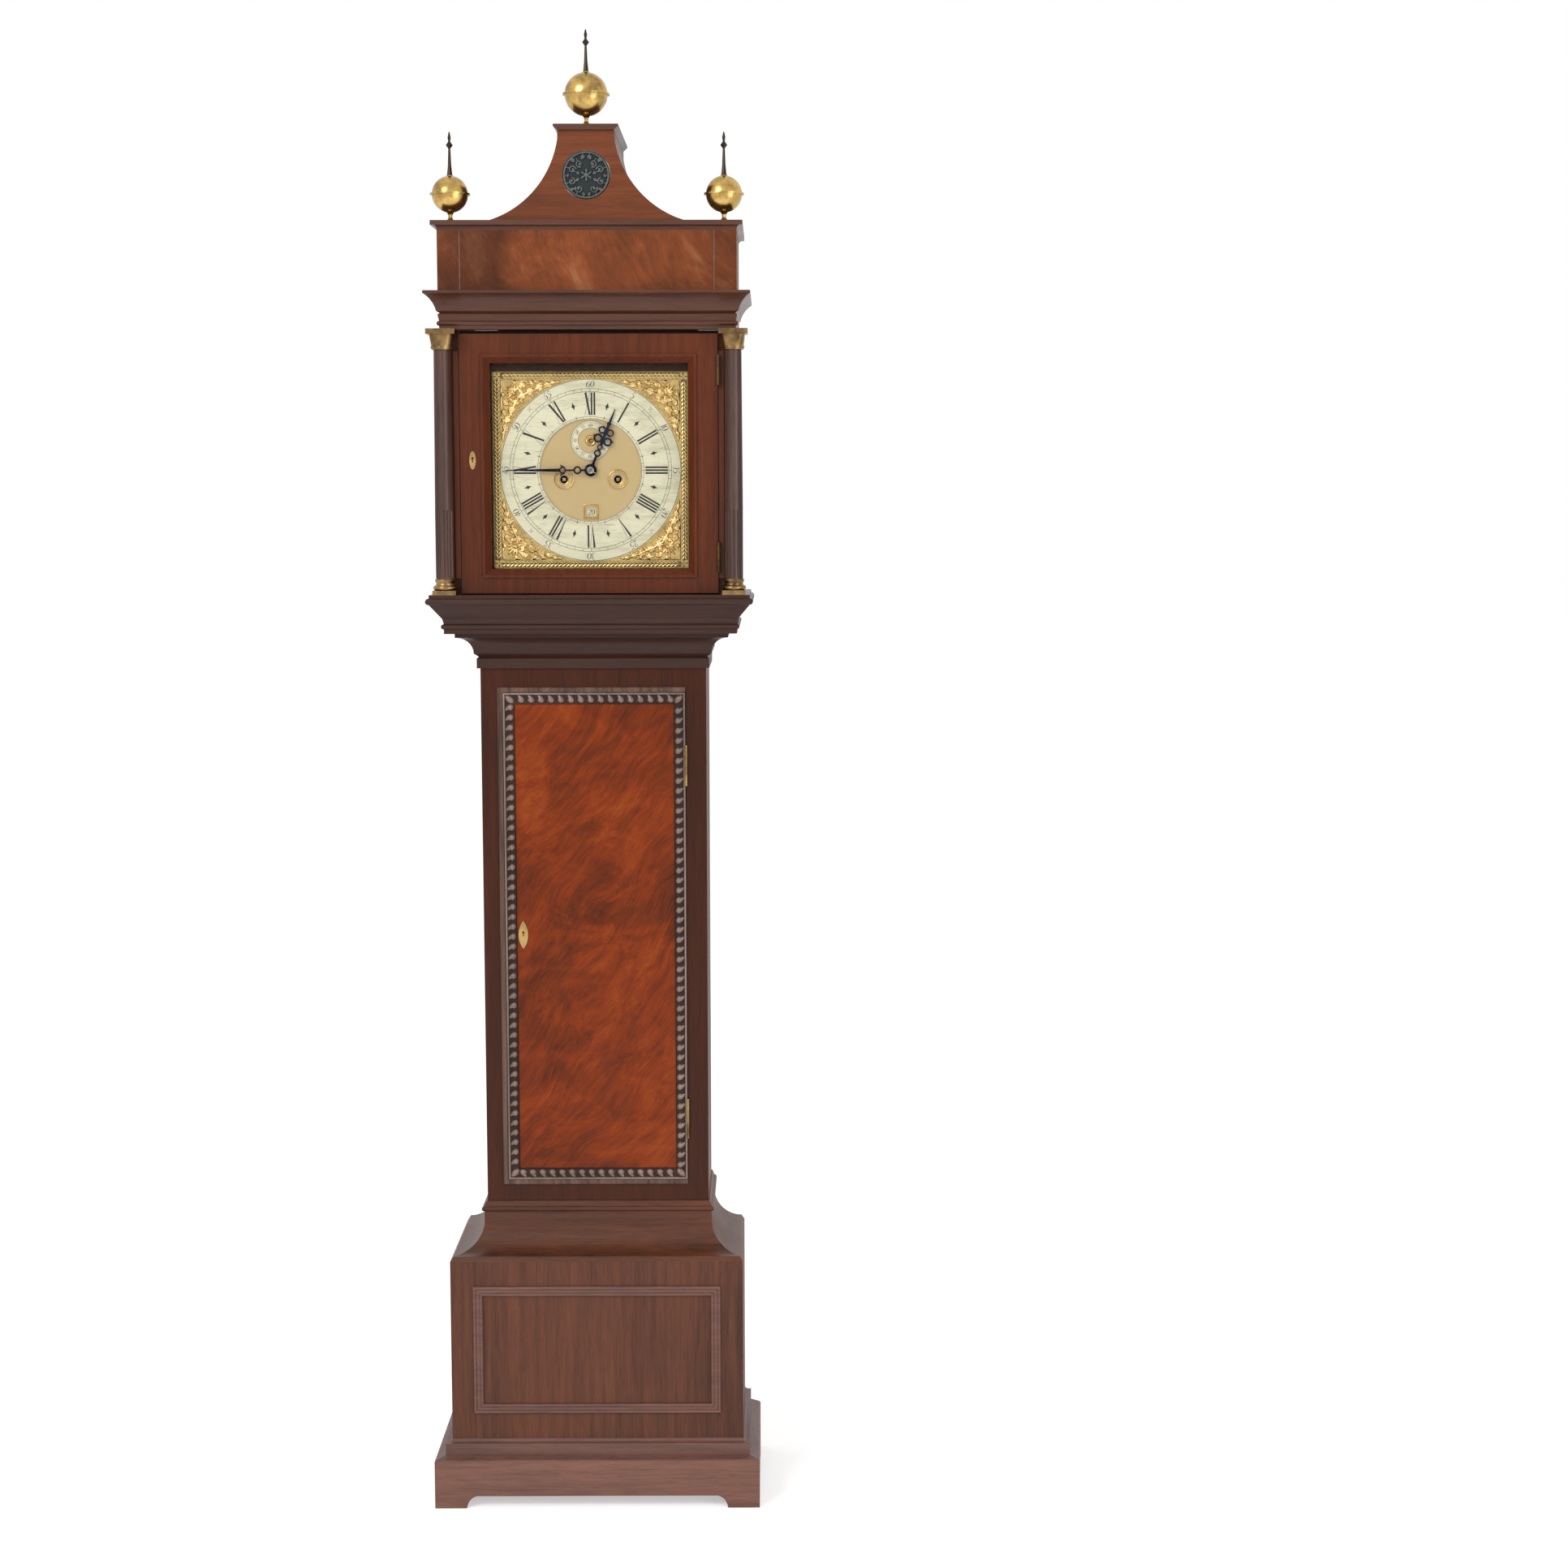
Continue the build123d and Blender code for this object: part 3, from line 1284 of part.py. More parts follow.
# Third wheel
with BuildPart() as third_wheel:
    with BuildSketch(front_plane(third_wheel_back, *third_spot)):
        add(crossed_wheel(third_teeth, third_radius, bearing(third_spot, escape_spot), 6))
    extrude(amount=wheel_thickness)
    with BuildSketch(front_plane(centre_wheel_back - 2, *third_spot)):
        add(pinion_face(third_pinion_radius, bearing(third_spot, centre_spot) + half_leaf))
    extrude(amount=wheel_thickness + 4)
    add_rod(*third_spot, back_outer + 0.5, plate_front_depth - 0.5, pivot_radius)
    add_rod(*third_spot, back_inner + shoulder_gap, front_inner - shoulder_gap, arbor_radius)
keep(third_wheel, "third_wheel")

# Escape wheel with raked pointed teeth
with BuildPart() as escape_wheel:
    with BuildSketch(front_plane(escape_wheel_back, *escape_spot)):
        corners = []
        for tooth in range(escape_teeth):
            for share, radius in ((0.5, escape_radius), (0.62, escape_radius - 4), (1.35, escape_radius - 4)):
                angle = radians((tooth + share) * 360 / escape_teeth)
                corners.append((radius * cos(angle), radius * sin(angle)))
        Polygon(*corners, align=None)
        with PolarLocations(7.6, 4):
            RegularPolygon(3.2, 6, mode=Mode.SUBTRACT)
    extrude(amount=wheel_thickness)
    with BuildSketch(front_plane(third_wheel_back - 2, *escape_spot)):
        add(pinion_face(escape_pinion_radius, bearing(escape_spot, third_spot) + half_leaf))
    extrude(amount=wheel_thickness + 4)
    add_rod(*escape_spot, back_outer + 0.5, back_inner + shoulder_gap, pivot_radius)
    add_rod(*escape_spot, back_inner + shoulder_gap, plate_back - 3, arbor_radius)
keep(escape_wheel, "escape_wheel")

# Anchor: pallets over the escape wheel, and the crutch that embraces the pendulum rod
with BuildPart() as anchor:
    with BuildSketch(front_plane(escape_wheel_back - 1, *anchor_spot)):
        Circle(4)
        for side in (-1, 1):
            Polygon(
                (0, 2),
                (side * 9, 1),
                (side * 17, -6),
                (side * 15.5, -10.5),
                (side * 13.3, -anchor_rise + 13.3),
                (side * 14.2, -8.5),
                (side * 8, -3),
                (0, -2.5),
                align=None,
            )
    extrude(amount=wheel_thickness + 2)
    add_rod(*anchor_spot, escape_wheel_back, plate_front_depth - 0.5, pivot_radius)
    add_rod(*anchor_spot, web_back + 4 + shoulder_gap, front_inner - shoulder_gap, arbor_radius)
    add_rod(*anchor_spot, web_back + 0.5, web_back + 5, pivot_radius)
    crutch_depth = back_outer - 6
    with Locations((0, at_depth(crutch_depth), anchor_spot[1] - crutch_length / 2)):
        Cylinder(1.3, crutch_length)
    prong_gap = rod_radius + 0.35
    with Locations((0, at_depth(crutch_depth), anchor_spot[1] - crutch_length)):
        Box(2 * prong_gap + 4, 3, 4)
    for side in (-1, 1):
        with Locations((
            side * (prong_gap + 1),
            at_depth((crutch_depth + pendulum_depth - 5) / 2),
            anchor_spot[1] - crutch_length,
        )):
            Box(2, crutch_depth - pendulum_depth + 5, 4)
keep(anchor, "anchor")

# Pendulum: suspension spring, rod, brass bob and rating nut
bob_z = anchor_spot[1] - pendulum_length
with BuildPart() as pendulum:
    spring_foot = anchor_spot[1] - 30
    with Locations((0, at_depth(pendulum_depth), (spring_foot + anchor_spot[1] + 2.7) / 2)):
        Box(0.5, 6, anchor_spot[1] + 2.7 - spring_foot)
    rod_foot = bob_z - bob_radius - 14
    with Locations((0, at_depth(pendulum_depth), (spring_foot + rod_foot) / 2)):
        Cylinder(rod_radius, spring_foot - rod_foot)
    with BuildSketch(Plane.YZ):
        with BuildLine():
            bob_y = at_depth(pendulum_depth)
            half = bob_thickness / 2
            bulge = (bob_radius**2 + half**2) / (2 * half)
            quarter = sqrt(bulge**2 - (bob_radius / 2) ** 2) - (bulge - half)
            Line((bob_y - half, bob_z), (bob_y + half, bob_z))
            for side in (-1, 1):
                ThreePointArc(
                    (bob_y + side * half, bob_z),
                    (bob_y + side * quarter, bob_z + bob_radius / 2),
                    (bob_y, bob_z + bob_radius),
                )
        make_face()
    revolve(axis=Axis((0, at_depth(pendulum_depth), bob_z), (0, 1, 0)))
    with Locations((0, at_depth(pendulum_depth), rod_foot + 6)):
        Cylinder(8, 5)
keep(pendulum, "pendulum")

# Weights with their pulleys, and the gut lines that carry them
pulley_z = seat_bottom - weight_hang
for spot, train in ((going_spot, "going"), (strike_spot, "strike")):
    line_x = spot[0] - line_offset
    middle_x = line_x + pulley_radius
    return_x = middle_x + pulley_radius
    weight_y = at_depth(barrel_middle)
    with BuildPart() as weight:
        weight_top = pulley_z - pulley_radius - 24
        with Locations((middle_x, weight_y, weight_top - weight_height / 2)):
            Cylinder(weight_radius, weight_height)
        with Locations((middle_x, weight_y, weight_top + 7)):
            Cylinder(2.5, 16)
        with Locations((middle_x, weight_y, pulley_z - pulley_radius - 8)):
            Box(10, 14, 5)
        for face in (-1, 1):
            with Locations((middle_x, weight_y + face * 5.5, pulley_z - pulley_radius / 2 - 2)):
                Box(8, 2, pulley_radius + 12)
        with BuildSketch(Plane((middle_x, weight_y, pulley_z), x_dir=(0, 1, 0), z_dir=(1, 0, 0))):
            with BuildLine():
                groove = pulley_radius - line_radius - shoulder_gap
                Polyline(
                    (-4.5, 0), (4.5, 0), (4.5, groove + 2.6), (2.5, groove + 2.6), (1, groove),
                    (-1, groove), (-2.5, groove + 2.6), (-4.5, groove + 2.6), close=True,
                )
            make_face()
        revolve(axis=Axis((middle_x, weight_y, pulley_z), (0, 1, 0)))
    keep(weight, f"{train}_weight")
    with BuildPart() as line:
        with BuildLine():
            start = (line_x, weight_y, winding_z)
            falling = (line_x, weight_y, pulley_z)
            rising = (return_x, weight_y, pulley_z)
            Line(start, falling)
            ThreePointArc(falling, (middle_x, weight_y, pulley_z - pulley_radius), rising)
            Line(rising, (return_x, weight_y, seat_top + 3))
        with BuildSketch(Plane(start, x_dir=(1, 0, 0), z_dir=(0, 0, -1))):
            Circle(line_radius)
        sweep()
        with Locations((return_x, weight_y, seat_top + 1.8)):
            Cylinder(3, 3)
    keep(line, f"{train}_line")

# Calendar ring: thirty-one teeth inside, its figures passing the window
with BuildPart() as calendar_ring:
    with BuildSketch(front_plane(calendar_back, z=dial_centre)):
        Circle(calendar_outer)
        corners = []
        for tooth in range(calendar_teeth):
            for share, radius in ((0, calendar_inner - 3), (0.25, calendar_inner), (0.9, calendar_inner)):
                angle = radians((tooth + share) * 360 / calendar_teeth)
                corners.append((radius * cos(angle), radius * sin(angle)))
        Polygon(*corners, align=None, mode=Mode.SUBTRACT)
    extrude(amount=calendar_thickness)
keep(calendar_ring, "calendar_ring")

# Bell over the movement, on a standard from the back plate, and its hammer
bell_x = -35
bell_depth = barrel_middle - 8
bell_mouth = seat_top + plate_height + 22
with BuildPart() as bell:
    with BuildSketch(front_plane(bell_depth, x=bell_x, z=bell_mouth)):
        with BuildLine():
            wall = 2.2
            crown = 34
            waist = (bell_radius - 4, 12)
            shoulder_point = (bell_radius * 0.72, crown * 0.76)
            rim_in = bell_radius - wall
            Polyline(
                (bell_radius, 0), waist, shoulder_point, (bell_radius * 0.4, crown - 2), (0, crown),
                (0, crown - wall), (bell_radius * 0.38, crown - 2 - wall),
                (shoulder_point[0] - wall, shoulder_point[1] - wall), (waist[0] - wall, waist[1]),
                (rim_in, 0), close=True,
            )
        make_face()
    revolve(axis=Axis((bell_x, at_depth(bell_depth), 0), (0, 0, 1)))
    standard_top = bell_mouth + crown + 8
    standard_foot = seat_top + plate_height - 14
    with Locations((bell_x, at_depth(back_outer - 1.5), (standard_top + standard_foot) / 2)):
        Box(9, 3, standard_top - standard_foot)
    with Locations((bell_x, at_depth((back_outer + bell_depth + 2) / 2), standard_top - 1.5)):
        Box(9, bell_depth + 5 - back_outer, 3)
    with Locations((bell_x, at_depth(bell_depth), bell_mouth + crown + 3)):
        Cylinder(2.5, 10)
keep(bell, "bell")

with BuildPart() as hammer:
    head_x = bell_x - bell_radius - 8
    head_z = bell_mouth + 4
    arm_x = head_x - hammer_spot[0]
    arm_z = head_z - hammer_spot[1]
    lean = degrees(atan2(arm_x, arm_z))
    add_rod(*hammer_spot, back_outer + 0.5, back_inner + 1, pivot_radius)
    add_rod(*hammer_spot, back_inner + shoulder_gap, bell_depth + 8, arbor_radius)
    with Locations((
        hammer_spot[0] + arm_x / 2,
        at_depth(bell_depth),
        hammer_spot[1] + arm_z / 2,
    )):
        Cylinder(1.5, hypot(arm_x, arm_z), rotation=(0, lean, 0))
    with Locations((head_x, at_depth(bell_depth), head_z)):
        Cylinder(6, 14, rotation=(0, 90, 0))
keep(hammer, "hammer")

# Hands: pierced steel, laid along their own direction from the centre
with BuildPart() as hour_hand:
    with BuildSketch(front_plane(hour_hand_back, z=dial_centre, turn=hour_hand_turn)):
        loops = (
            (0, 28, 5.5, 3.3),
            (0, 38, 4.5, 2.6),
            (-8, 50, 7, 4.2),
            (8, 50, 7, 4.2),
            (-6.5, 64, 6, 3.6),
            (6.5, 64, 6, 3.6),
        )
        Circle(9.5)
        Polygon((-2.2, 8), (-1.6, 24), (1.6, 24), (2.2, 8), align=None)
        Polygon((-2, 32), (-2, 70), (2, 70), (2, 32), align=None)
        Polygon((-2.4, 68), (-0.5, hour_hand_length), (0.5, hour_hand_length), (2.4, 68), align=None)
        Polygon((-17, 54), (-12, 45), (12, 45), (17, 54), (0, 51), align=None)
        with Locations((0, 76)):
            Circle(3.2)
        for x, y, outer, inner in loops:
            with Locations((x, y)):
                RegularPolygon(outer, 14)
        for x, y, outer, inner in loops:
            with Locations((x, y)):
                RegularPolygon(inner, 10, mode=Mode.SUBTRACT)
        Circle(cannon_pipe + pivot_clearance, mode=Mode.SUBTRACT)
    extrude(amount=hand_thickness)
keep(hour_hand, "hour_hand")

with BuildPart() as minute_hand:
    with BuildSketch(front_plane(minute_hand_back, z=dial_centre, turn=minute_hand_turn)):
        Circle(7.5)
        Polygon((-1.6, 6), (-1.3, 40), (1.3, 40), (1.6, 6), align=None)
        Polygon((-2.6, 46), (-0.6, minute_hand_length), (0.6, minute_hand_length), (2.6, 46), align=None)
        Polygon((-9, 47), (-5, 39), (5, 39), (9, 47), (0, 43), align=None)
        with Locations((0, 20)):
            RegularPolygon(6.3, 14)
        with Locations((0, 43)):
            RegularPolygon(5.5, 12)
        with Locations((0, 20)):
            RegularPolygon(3.8, 12, mode=Mode.SUBTRACT)
        with Locations((0, 43)):
            RegularPolygon(3.2, 10, mode=Mode.SUBTRACT)
        Circle(arbor_radius + pivot_clearance, mode=Mode.SUBTRACT)
    extrude(amount=hand_thickness)
    with BuildSketch(front_plane(minute_hand_back + hand_thickness, z=dial_centre)):
        Circle(4.5)
        Circle(arbor_radius + pivot_clearance, mode=Mode.SUBTRACT)
    extrude(amount=1)
keep(minute_hand, "minute_hand")
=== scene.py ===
from math import atan2, cos, hypot, pi, radians, sin

import bmesh
import bpy
from mathutils import Matrix, Vector


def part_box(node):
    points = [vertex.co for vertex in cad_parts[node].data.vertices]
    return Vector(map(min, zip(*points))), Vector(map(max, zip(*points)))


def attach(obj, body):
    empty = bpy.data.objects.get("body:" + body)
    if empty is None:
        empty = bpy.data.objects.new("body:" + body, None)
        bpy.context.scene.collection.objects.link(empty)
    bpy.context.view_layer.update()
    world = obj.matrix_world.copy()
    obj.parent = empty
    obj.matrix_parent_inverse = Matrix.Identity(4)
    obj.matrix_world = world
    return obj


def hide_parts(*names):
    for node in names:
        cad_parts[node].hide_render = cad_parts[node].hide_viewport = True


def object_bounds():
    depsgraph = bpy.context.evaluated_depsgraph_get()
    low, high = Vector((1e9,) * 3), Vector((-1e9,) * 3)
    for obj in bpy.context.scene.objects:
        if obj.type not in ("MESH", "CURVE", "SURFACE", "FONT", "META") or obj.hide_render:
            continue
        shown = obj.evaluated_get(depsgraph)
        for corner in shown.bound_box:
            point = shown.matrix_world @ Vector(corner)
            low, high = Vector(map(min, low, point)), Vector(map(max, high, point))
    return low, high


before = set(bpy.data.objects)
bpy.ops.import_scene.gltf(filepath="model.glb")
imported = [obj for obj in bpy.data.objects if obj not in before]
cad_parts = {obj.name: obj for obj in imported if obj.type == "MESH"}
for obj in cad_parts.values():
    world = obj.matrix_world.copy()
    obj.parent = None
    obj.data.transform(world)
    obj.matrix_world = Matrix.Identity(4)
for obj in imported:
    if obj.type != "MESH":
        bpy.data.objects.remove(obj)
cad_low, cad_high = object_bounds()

# Lengths here are in millimetres unless a name says otherwise. X runs to the right, Z up,
# and a depth is measured forward from the flat back of the case, as the frame stands.
MM = 0.001
CASE_BACK = cad_high.y / MM
DIAL_Z = 1633.0
DIAL_FRONT = 202.0
# Corners of a square, in halves of its side
SQUARE = ((-1, -1), (1, -1), (1, 1), (-1, 1))


def polar(radius, angle, x=0.0, z=0.0):
    """Where a point lies at a distance and angle from x, z."""
    return (x + radius * cos(angle), z + radius * sin(angle))


def point(x, depth, z):
    """A place on the clock, in metres."""
    return Vector((x * MM, (CASE_BACK - depth) * MM, z * MM))


def node_box(name):
    """Lowest and highest x, depth and z of a node, in millimetres."""
    low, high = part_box(name)
    return (
        Vector((low.x / MM, CASE_BACK - high.y / MM, low.z / MM)),
        Vector((high.x / MM, CASE_BACK - low.y / MM, high.z / MM)),
    )


# Materials


def tone(red, green, blue):
    """A colour written as it looks on a screen, 0 to 255, turned to linear light."""
    linear = []
    for value in (red, green, blue):
        share = value / 255
        linear.append(share / 12.92 if share <= 0.04045 else ((share + 0.055) / 1.055) ** 2.4)
    return (*linear, 1.0)


class Nodes:
    """Short calls for the nodes of one material or world."""

    def __init__(self, owner):
        owner.use_nodes = True
        self.tree = owner.node_tree
        self.tree.nodes.clear()

    def feed(self, socket, value):
        if isinstance(value, bpy.types.NodeSocket):
            self.tree.links.new(value, socket)
        else:
            socket.default_value = value

    def node(self, kind, **inputs):
        made = self.tree.nodes.new("ShaderNode" + kind)
        for name, value in inputs.items():
            self.feed(made.inputs[name.replace("_", " ")], value)
        return made

    def wire(self, made, *values):
        """Feeds the inputs of a node in their order and gives its first output."""
        for socket, value in zip(made.inputs, values):
            self.feed(socket, value)
        return made.outputs[0]

    def math(self, operation, *values, kind="Math"):
        made = self.node(kind)
        made.operation = operation
        return self.wire(made, *values)

    def seen(self):
        """1 for what the camera, metal or glass looks at, 0 for what only lights the clock."""
        path = self.node("LightPath")
        seen = self.math("MAXIMUM", path.outputs["Is Camera Ray"], path.outputs["Is Glossy Ray"])
        return self.math("MAXIMUM", seen, path.outputs["Is Transmission Ray"])


class Finish(Nodes):
    """One procedural material."""

    def __init__(self, name, roughness, metallic=0.0):
        self.material = bpy.data.materials.new(name)
        super().__init__(self.material)
        self.shader = self.node("BsdfPrincipled", Roughness=roughness, Metallic=metallic)
        self.node("OutputMaterial", Surface=self.shader.outputs["BSDF"])
        coordinates = self.node("TexCoord")
        self.place = coordinates.outputs["Object"]
        self.facing = coordinates.outputs["Normal"]

    def axis(self, letter, vector=None):
        """One coordinate of a vector, or of the place."""
        return self.node("SeparateXYZ", Vector=vector or self.place).outputs[letter]

    def sum(self, *shares, less=0.0):
        """Each value times its weight, added up, less a fixed amount."""
        total = -less
        for value, weight in shares:
            total = self.math("MULTIPLY_ADD", value, weight, total)
        return total

    def spread(self, scale, turn=(0, 0, 0), shift=(0, 0, 0), vector=None):
        """Object coordinates turned, then stretched."""
        turned = self.node("Mapping", Vector=vector or self.place, Rotation=turn, Location=shift)
        return self.node("Mapping", Vector=turned.outputs[0], Scale=scale).outputs[0]

    def noise(self, vector, scale, detail=4.0, roughness=0.55, distortion=0.0):
        made = self.node(
            "TexNoise", Vector=vector, Scale=scale, Detail=detail, Roughness=roughness, Distortion=distortion
        )
        return made.outputs["Fac"]

    def warp(self, vector, scale, amount):
        """The same coordinates, pushed about by slow noise."""
        cloud = self.node("TexNoise", Vector=vector, Scale=scale, Detail=2.0)
        centred = self.math("SUBTRACT", cloud.outputs["Color"], (0.5,) * 3, kind="VectorMath")
        return self.math("MULTIPLY_ADD", centred, (amount,) * 3, vector, kind="VectorMath")

    def ramp(self, factor, *stops):
        made = self.node("ValToRGB", Fac=factor)
        elements = made.color_ramp.elements
        while len(elements) < len(stops):
            elements.new(0.5)
        for element, (position, colour) in zip(elements, stops):
            element.position = position
            element.color = colour
        return made.outputs["Color"]

    def blend(self, factor, first, second, how="MIX"):
        """Two colours mixed, by inputs 0, 6 and 7 and output 2 of a Mix node that is set to colour."""
        made = self.node("Mix")
        made.data_type = "RGBA"
        made.blend_type = how
        for index, value in ((0, factor), (6, first), (7, second)):
            self.feed(made.inputs[index], value)
        return made.outputs[2]

    def colour(self, value):
        self.set(Base_Color=value)

    def bump(self, height, strength, distance=0.0004):
        made = self.node("Bump", Height=height, Strength=strength, Distance=distance)
        self.set(Normal=made.outputs[0])

    def set(self, **values):
        for name, value in values.items():
            self.feed(self.shader.inputs[name.replace("_", " ")], value)


def shaded(main, share):
    """A colour made darker or lighter by a share of itself."""
    return tone(*(min(255, value * (1 + share)) for value in main))


# Share of its sheen that a face turned fully sideways loses
SIDE_DULLING = 0.9


def polish(finish, sheen, coat):
    """Wax rubbed up on the front and thin on the returns, which face sideways."""
    sideways = finish.math("ABSOLUTE", finish.axis("X", finish.facing))
    finish.set(Specular_IOR_Level=finish.sum((sideways, -SIDE_DULLING * sheen), less=-sheen))
    finish.set(Coat_Weight=finish.sum((sideways, -coat), less=-coat))


def wood(name, main, contrast, grain, gloss, shift, sheen):
    """Polished mahogany. grain is the way the fibres run: Z, X, or round for a moulding."""
    long = 0.05
    scale = {"Z": (1, 1, long), "X": (long, 1, 1), "round": (long, long, 1)}[grain]
    finish = Finish(name, roughness=gloss)
    place = (shift, shift * 0.7, shift * 1.3)
    fibres = finish.spread(scale, shift=place)
    clouds = finish.spread(tuple(0.3 + 0.7 * s for s in scale), shift=place)
    broad = finish.noise(clouds, 5.0, 3.0, 0.55, 0.5)
    streak = finish.noise(fibres, 90.0, 4.0, 0.6, 0.3)
    fine = finish.noise(fibres, 420.0, 3.0, 0.6)
    mixed = finish.sum((broad, 0.5), (streak, 0.55), (fine, 0.35), less=0.2)
    body = finish.ramp(
        mixed, (0.34, shaded(main, -contrast)), (0.5, tone(*main)), (0.68, shaded(main, 0.8 * contrast))
    )
    pores = finish.noise(fibres, 900.0, 2.0)
    pitted = finish.ramp(pores, (0.36, (0.5, 0.45, 0.45, 1)), (0.44, (1, 1, 1, 1)))
    finish.colour(finish.blend(0.4, body, pitted, "MULTIPLY"))
    finish.bump(pores, 0.08)
    haze = finish.noise(clouds, 14.0, 2.0)
    finish.set(Roughness=finish.sum((haze, 0.24), less=0.12 - gloss), Coat_Roughness=0.12)
    polish(finish, sheen, 0.06)
    return finish.material


# Middle and half size of the trunk door's veneered field, in millimetres: x, z
DOOR_FIELD = ((0.75, 900.5), (142.0, 387.9))
# Width of the attic's front, in metres, and how bright it is at shares of that width
ATTIC_WIDTH = 0.453
ATTIC_DRIFT = ((0.0, 0.58), (0.08, 0.42), (0.21, 0.4), (0.27, 0.84), (0.5, 1.0), (0.8, 0.85), (0.92, 0.62))


def flame_wood(name, main, contrast, lean, across, shift, drift=(), edge=(), edge_colour=()):
    """Figured veneer: fine feathered streaks that lean and drift, under soft dark clouds.

    drift brightens or darkens it along x, from one side of the hood to the other. Beyond the field
    named by edge, and on the back, the wood is the plain edge_colour.
    """
    finish = Finish(name, roughness=0.34)
    place = (shift, 0.0, shift)
    drifted = finish.warp(finish.spread((1, 1, 1), shift=place), 4.0, 0.16)
    streaks = finish.spread((across, 1.0, 0.12), turn=(0, lean, 0), vector=drifted)
    feather = finish.noise(streaks, 62.0, 5.0, 0.6, 0.4)
    threads = finish.noise(streaks, 260.0, 3.0, 0.6, 0.2)
    curl = finish.noise(finish.spread((0.5, 1.0, 1.0), vector=drifted), 24.0, 3.0, 0.5, 0.8)
    clouds = finish.noise(finish.spread((1.0, 1.0, 0.6), shift=place), 6.0, 3.0, 0.5, 0.7)
    mixed = finish.sum((feather, 0.5), (threads, 0.25), (curl, 0.35), (clouds, 0.6), less=0.35)
    bright = tuple(value * gain for value, gain in zip(main, (1.22, 1.5, 1.9)))
    body = finish.ramp(
        mixed,
        (0.3, shaded(main, -1.5 * contrast)),
        (0.44, shaded(main, -0.5 * contrast)),
        (0.56, shaded(main, 0.3 * contrast)),
        (0.74, tone(*bright)),
    )
    pores = finish.noise(finish.spread((1, 1, 0.06), turn=(0, lean, 0)), 900.0, 2.0)
    pitted = finish.ramp(pores, (0.36, (0.55, 0.5, 0.5, 1)), (0.44, (1, 1, 1, 1)))
    polished = finish.blend(0.35, body, pitted, "MULTIPLY")
    if drift:
        wandering = finish.axis("X", finish.warp(finish.place, 5.0, 0.1))
        across_hood = finish.sum((wandering, 1 / ATTIC_WIDTH), less=-0.5)
        tide = finish.ramp(across_hood, *((position, (value,) * 3 + (1,)) for position, value in drift))
        polished = finish.blend(1.0, polished, tide, "MULTIPLY")
    if edge:
        outside = finish.math("GREATER_THAN", finish.axis("Y", finish.facing), 0.5)
        for letter, middle, half in zip("XZ", *edge):
            offset = finish.math("ABSOLUTE", finish.math("SUBTRACT", finish.axis(letter), middle * MM))
            outside = finish.math("MAXIMUM", outside, finish.math("GREATER_THAN", offset, half * MM))
        upright = finish.noise(finish.spread((1, 1, 0.05)), 110.0, 4.0, 0.6, 0.3)
        plain = finish.ramp(upright, (0.32, shaded(edge_colour, -0.26)), (0.68, shaded(edge_colour, 0.2)))
        polished = finish.blend(outside, polished, finish.blend(0.35, plain, pitted, "MULTIPLY"))
    finish.colour(polished)
    finish.bump(pores, 0.06)
    finish.set(Coat_Roughness=0.12)
    polish(finish, 0.14, 0.05)
    return finish.material


def metal(name, main, worn, roughness, patch=22.0, grit=900.0, bump=0.05):
    """Metal whose colour and shine drift in soft patches over a fine grain."""
    finish = Finish(name, roughness=roughness, metallic=1.0)
    patches = finish.noise(finish.place, patch, 4.0, 0.6)
    finish.colour(finish.ramp(patches, (0.35, tone(*worn)), (0.62, tone(*main))))
    grain = finish.noise(finish.place, grit, 2.0)
    finish.set(Roughness=finish.sum((grain, 0.18), less=0.09 - roughness))
    finish.bump(grain, bump, 0.0001)
    return finish.material


# Inner edge of the chapter ring
MATTED_RADIUS = 80.0


def dial_brass(name, polished, matted, dark):
    """Polished brass whose middle, inside the chapter ring, is struck with a fine matting punch."""
    finish = Finish(name, roughness=0.3, metallic=1.0)
    rise = finish.math("SUBTRACT", finish.axis("Z"), DIAL_Z * MM)
    squares = finish.math("ADD", finish.math("POWER", rise, 2.0), finish.math("POWER", finish.axis("X"), 2.0))
    middle = finish.math("LESS_THAN", squares, (MATTED_RADIUS * MM) ** 2)
    punch = finish.noise(finish.place, 1500.0, 2.0, 0.7)
    patches = finish.noise(finish.place, 30.0, 4.0, 0.6)
    struck = finish.ramp(punch, (0.32, tone(*dark)), (0.56, tone(*matted)))
    haze = finish.blend(patches, struck, tone(*matted))
    clean = finish.ramp(patches, (0.34, shaded(polished, -0.16)), (0.6, tone(*polished)))
    finish.colour(finish.blend(middle, clean, haze))
    dulled = finish.sum((middle, 0.26), (patches, 0.16), less=-0.2)
    finish.set(Roughness=dulled, Metallic=finish.sum((middle, -0.35), less=-1.0))
    finish.bump(finish.math("MULTIPLY", punch, middle), 0.3, 0.0002)
    return finish.material


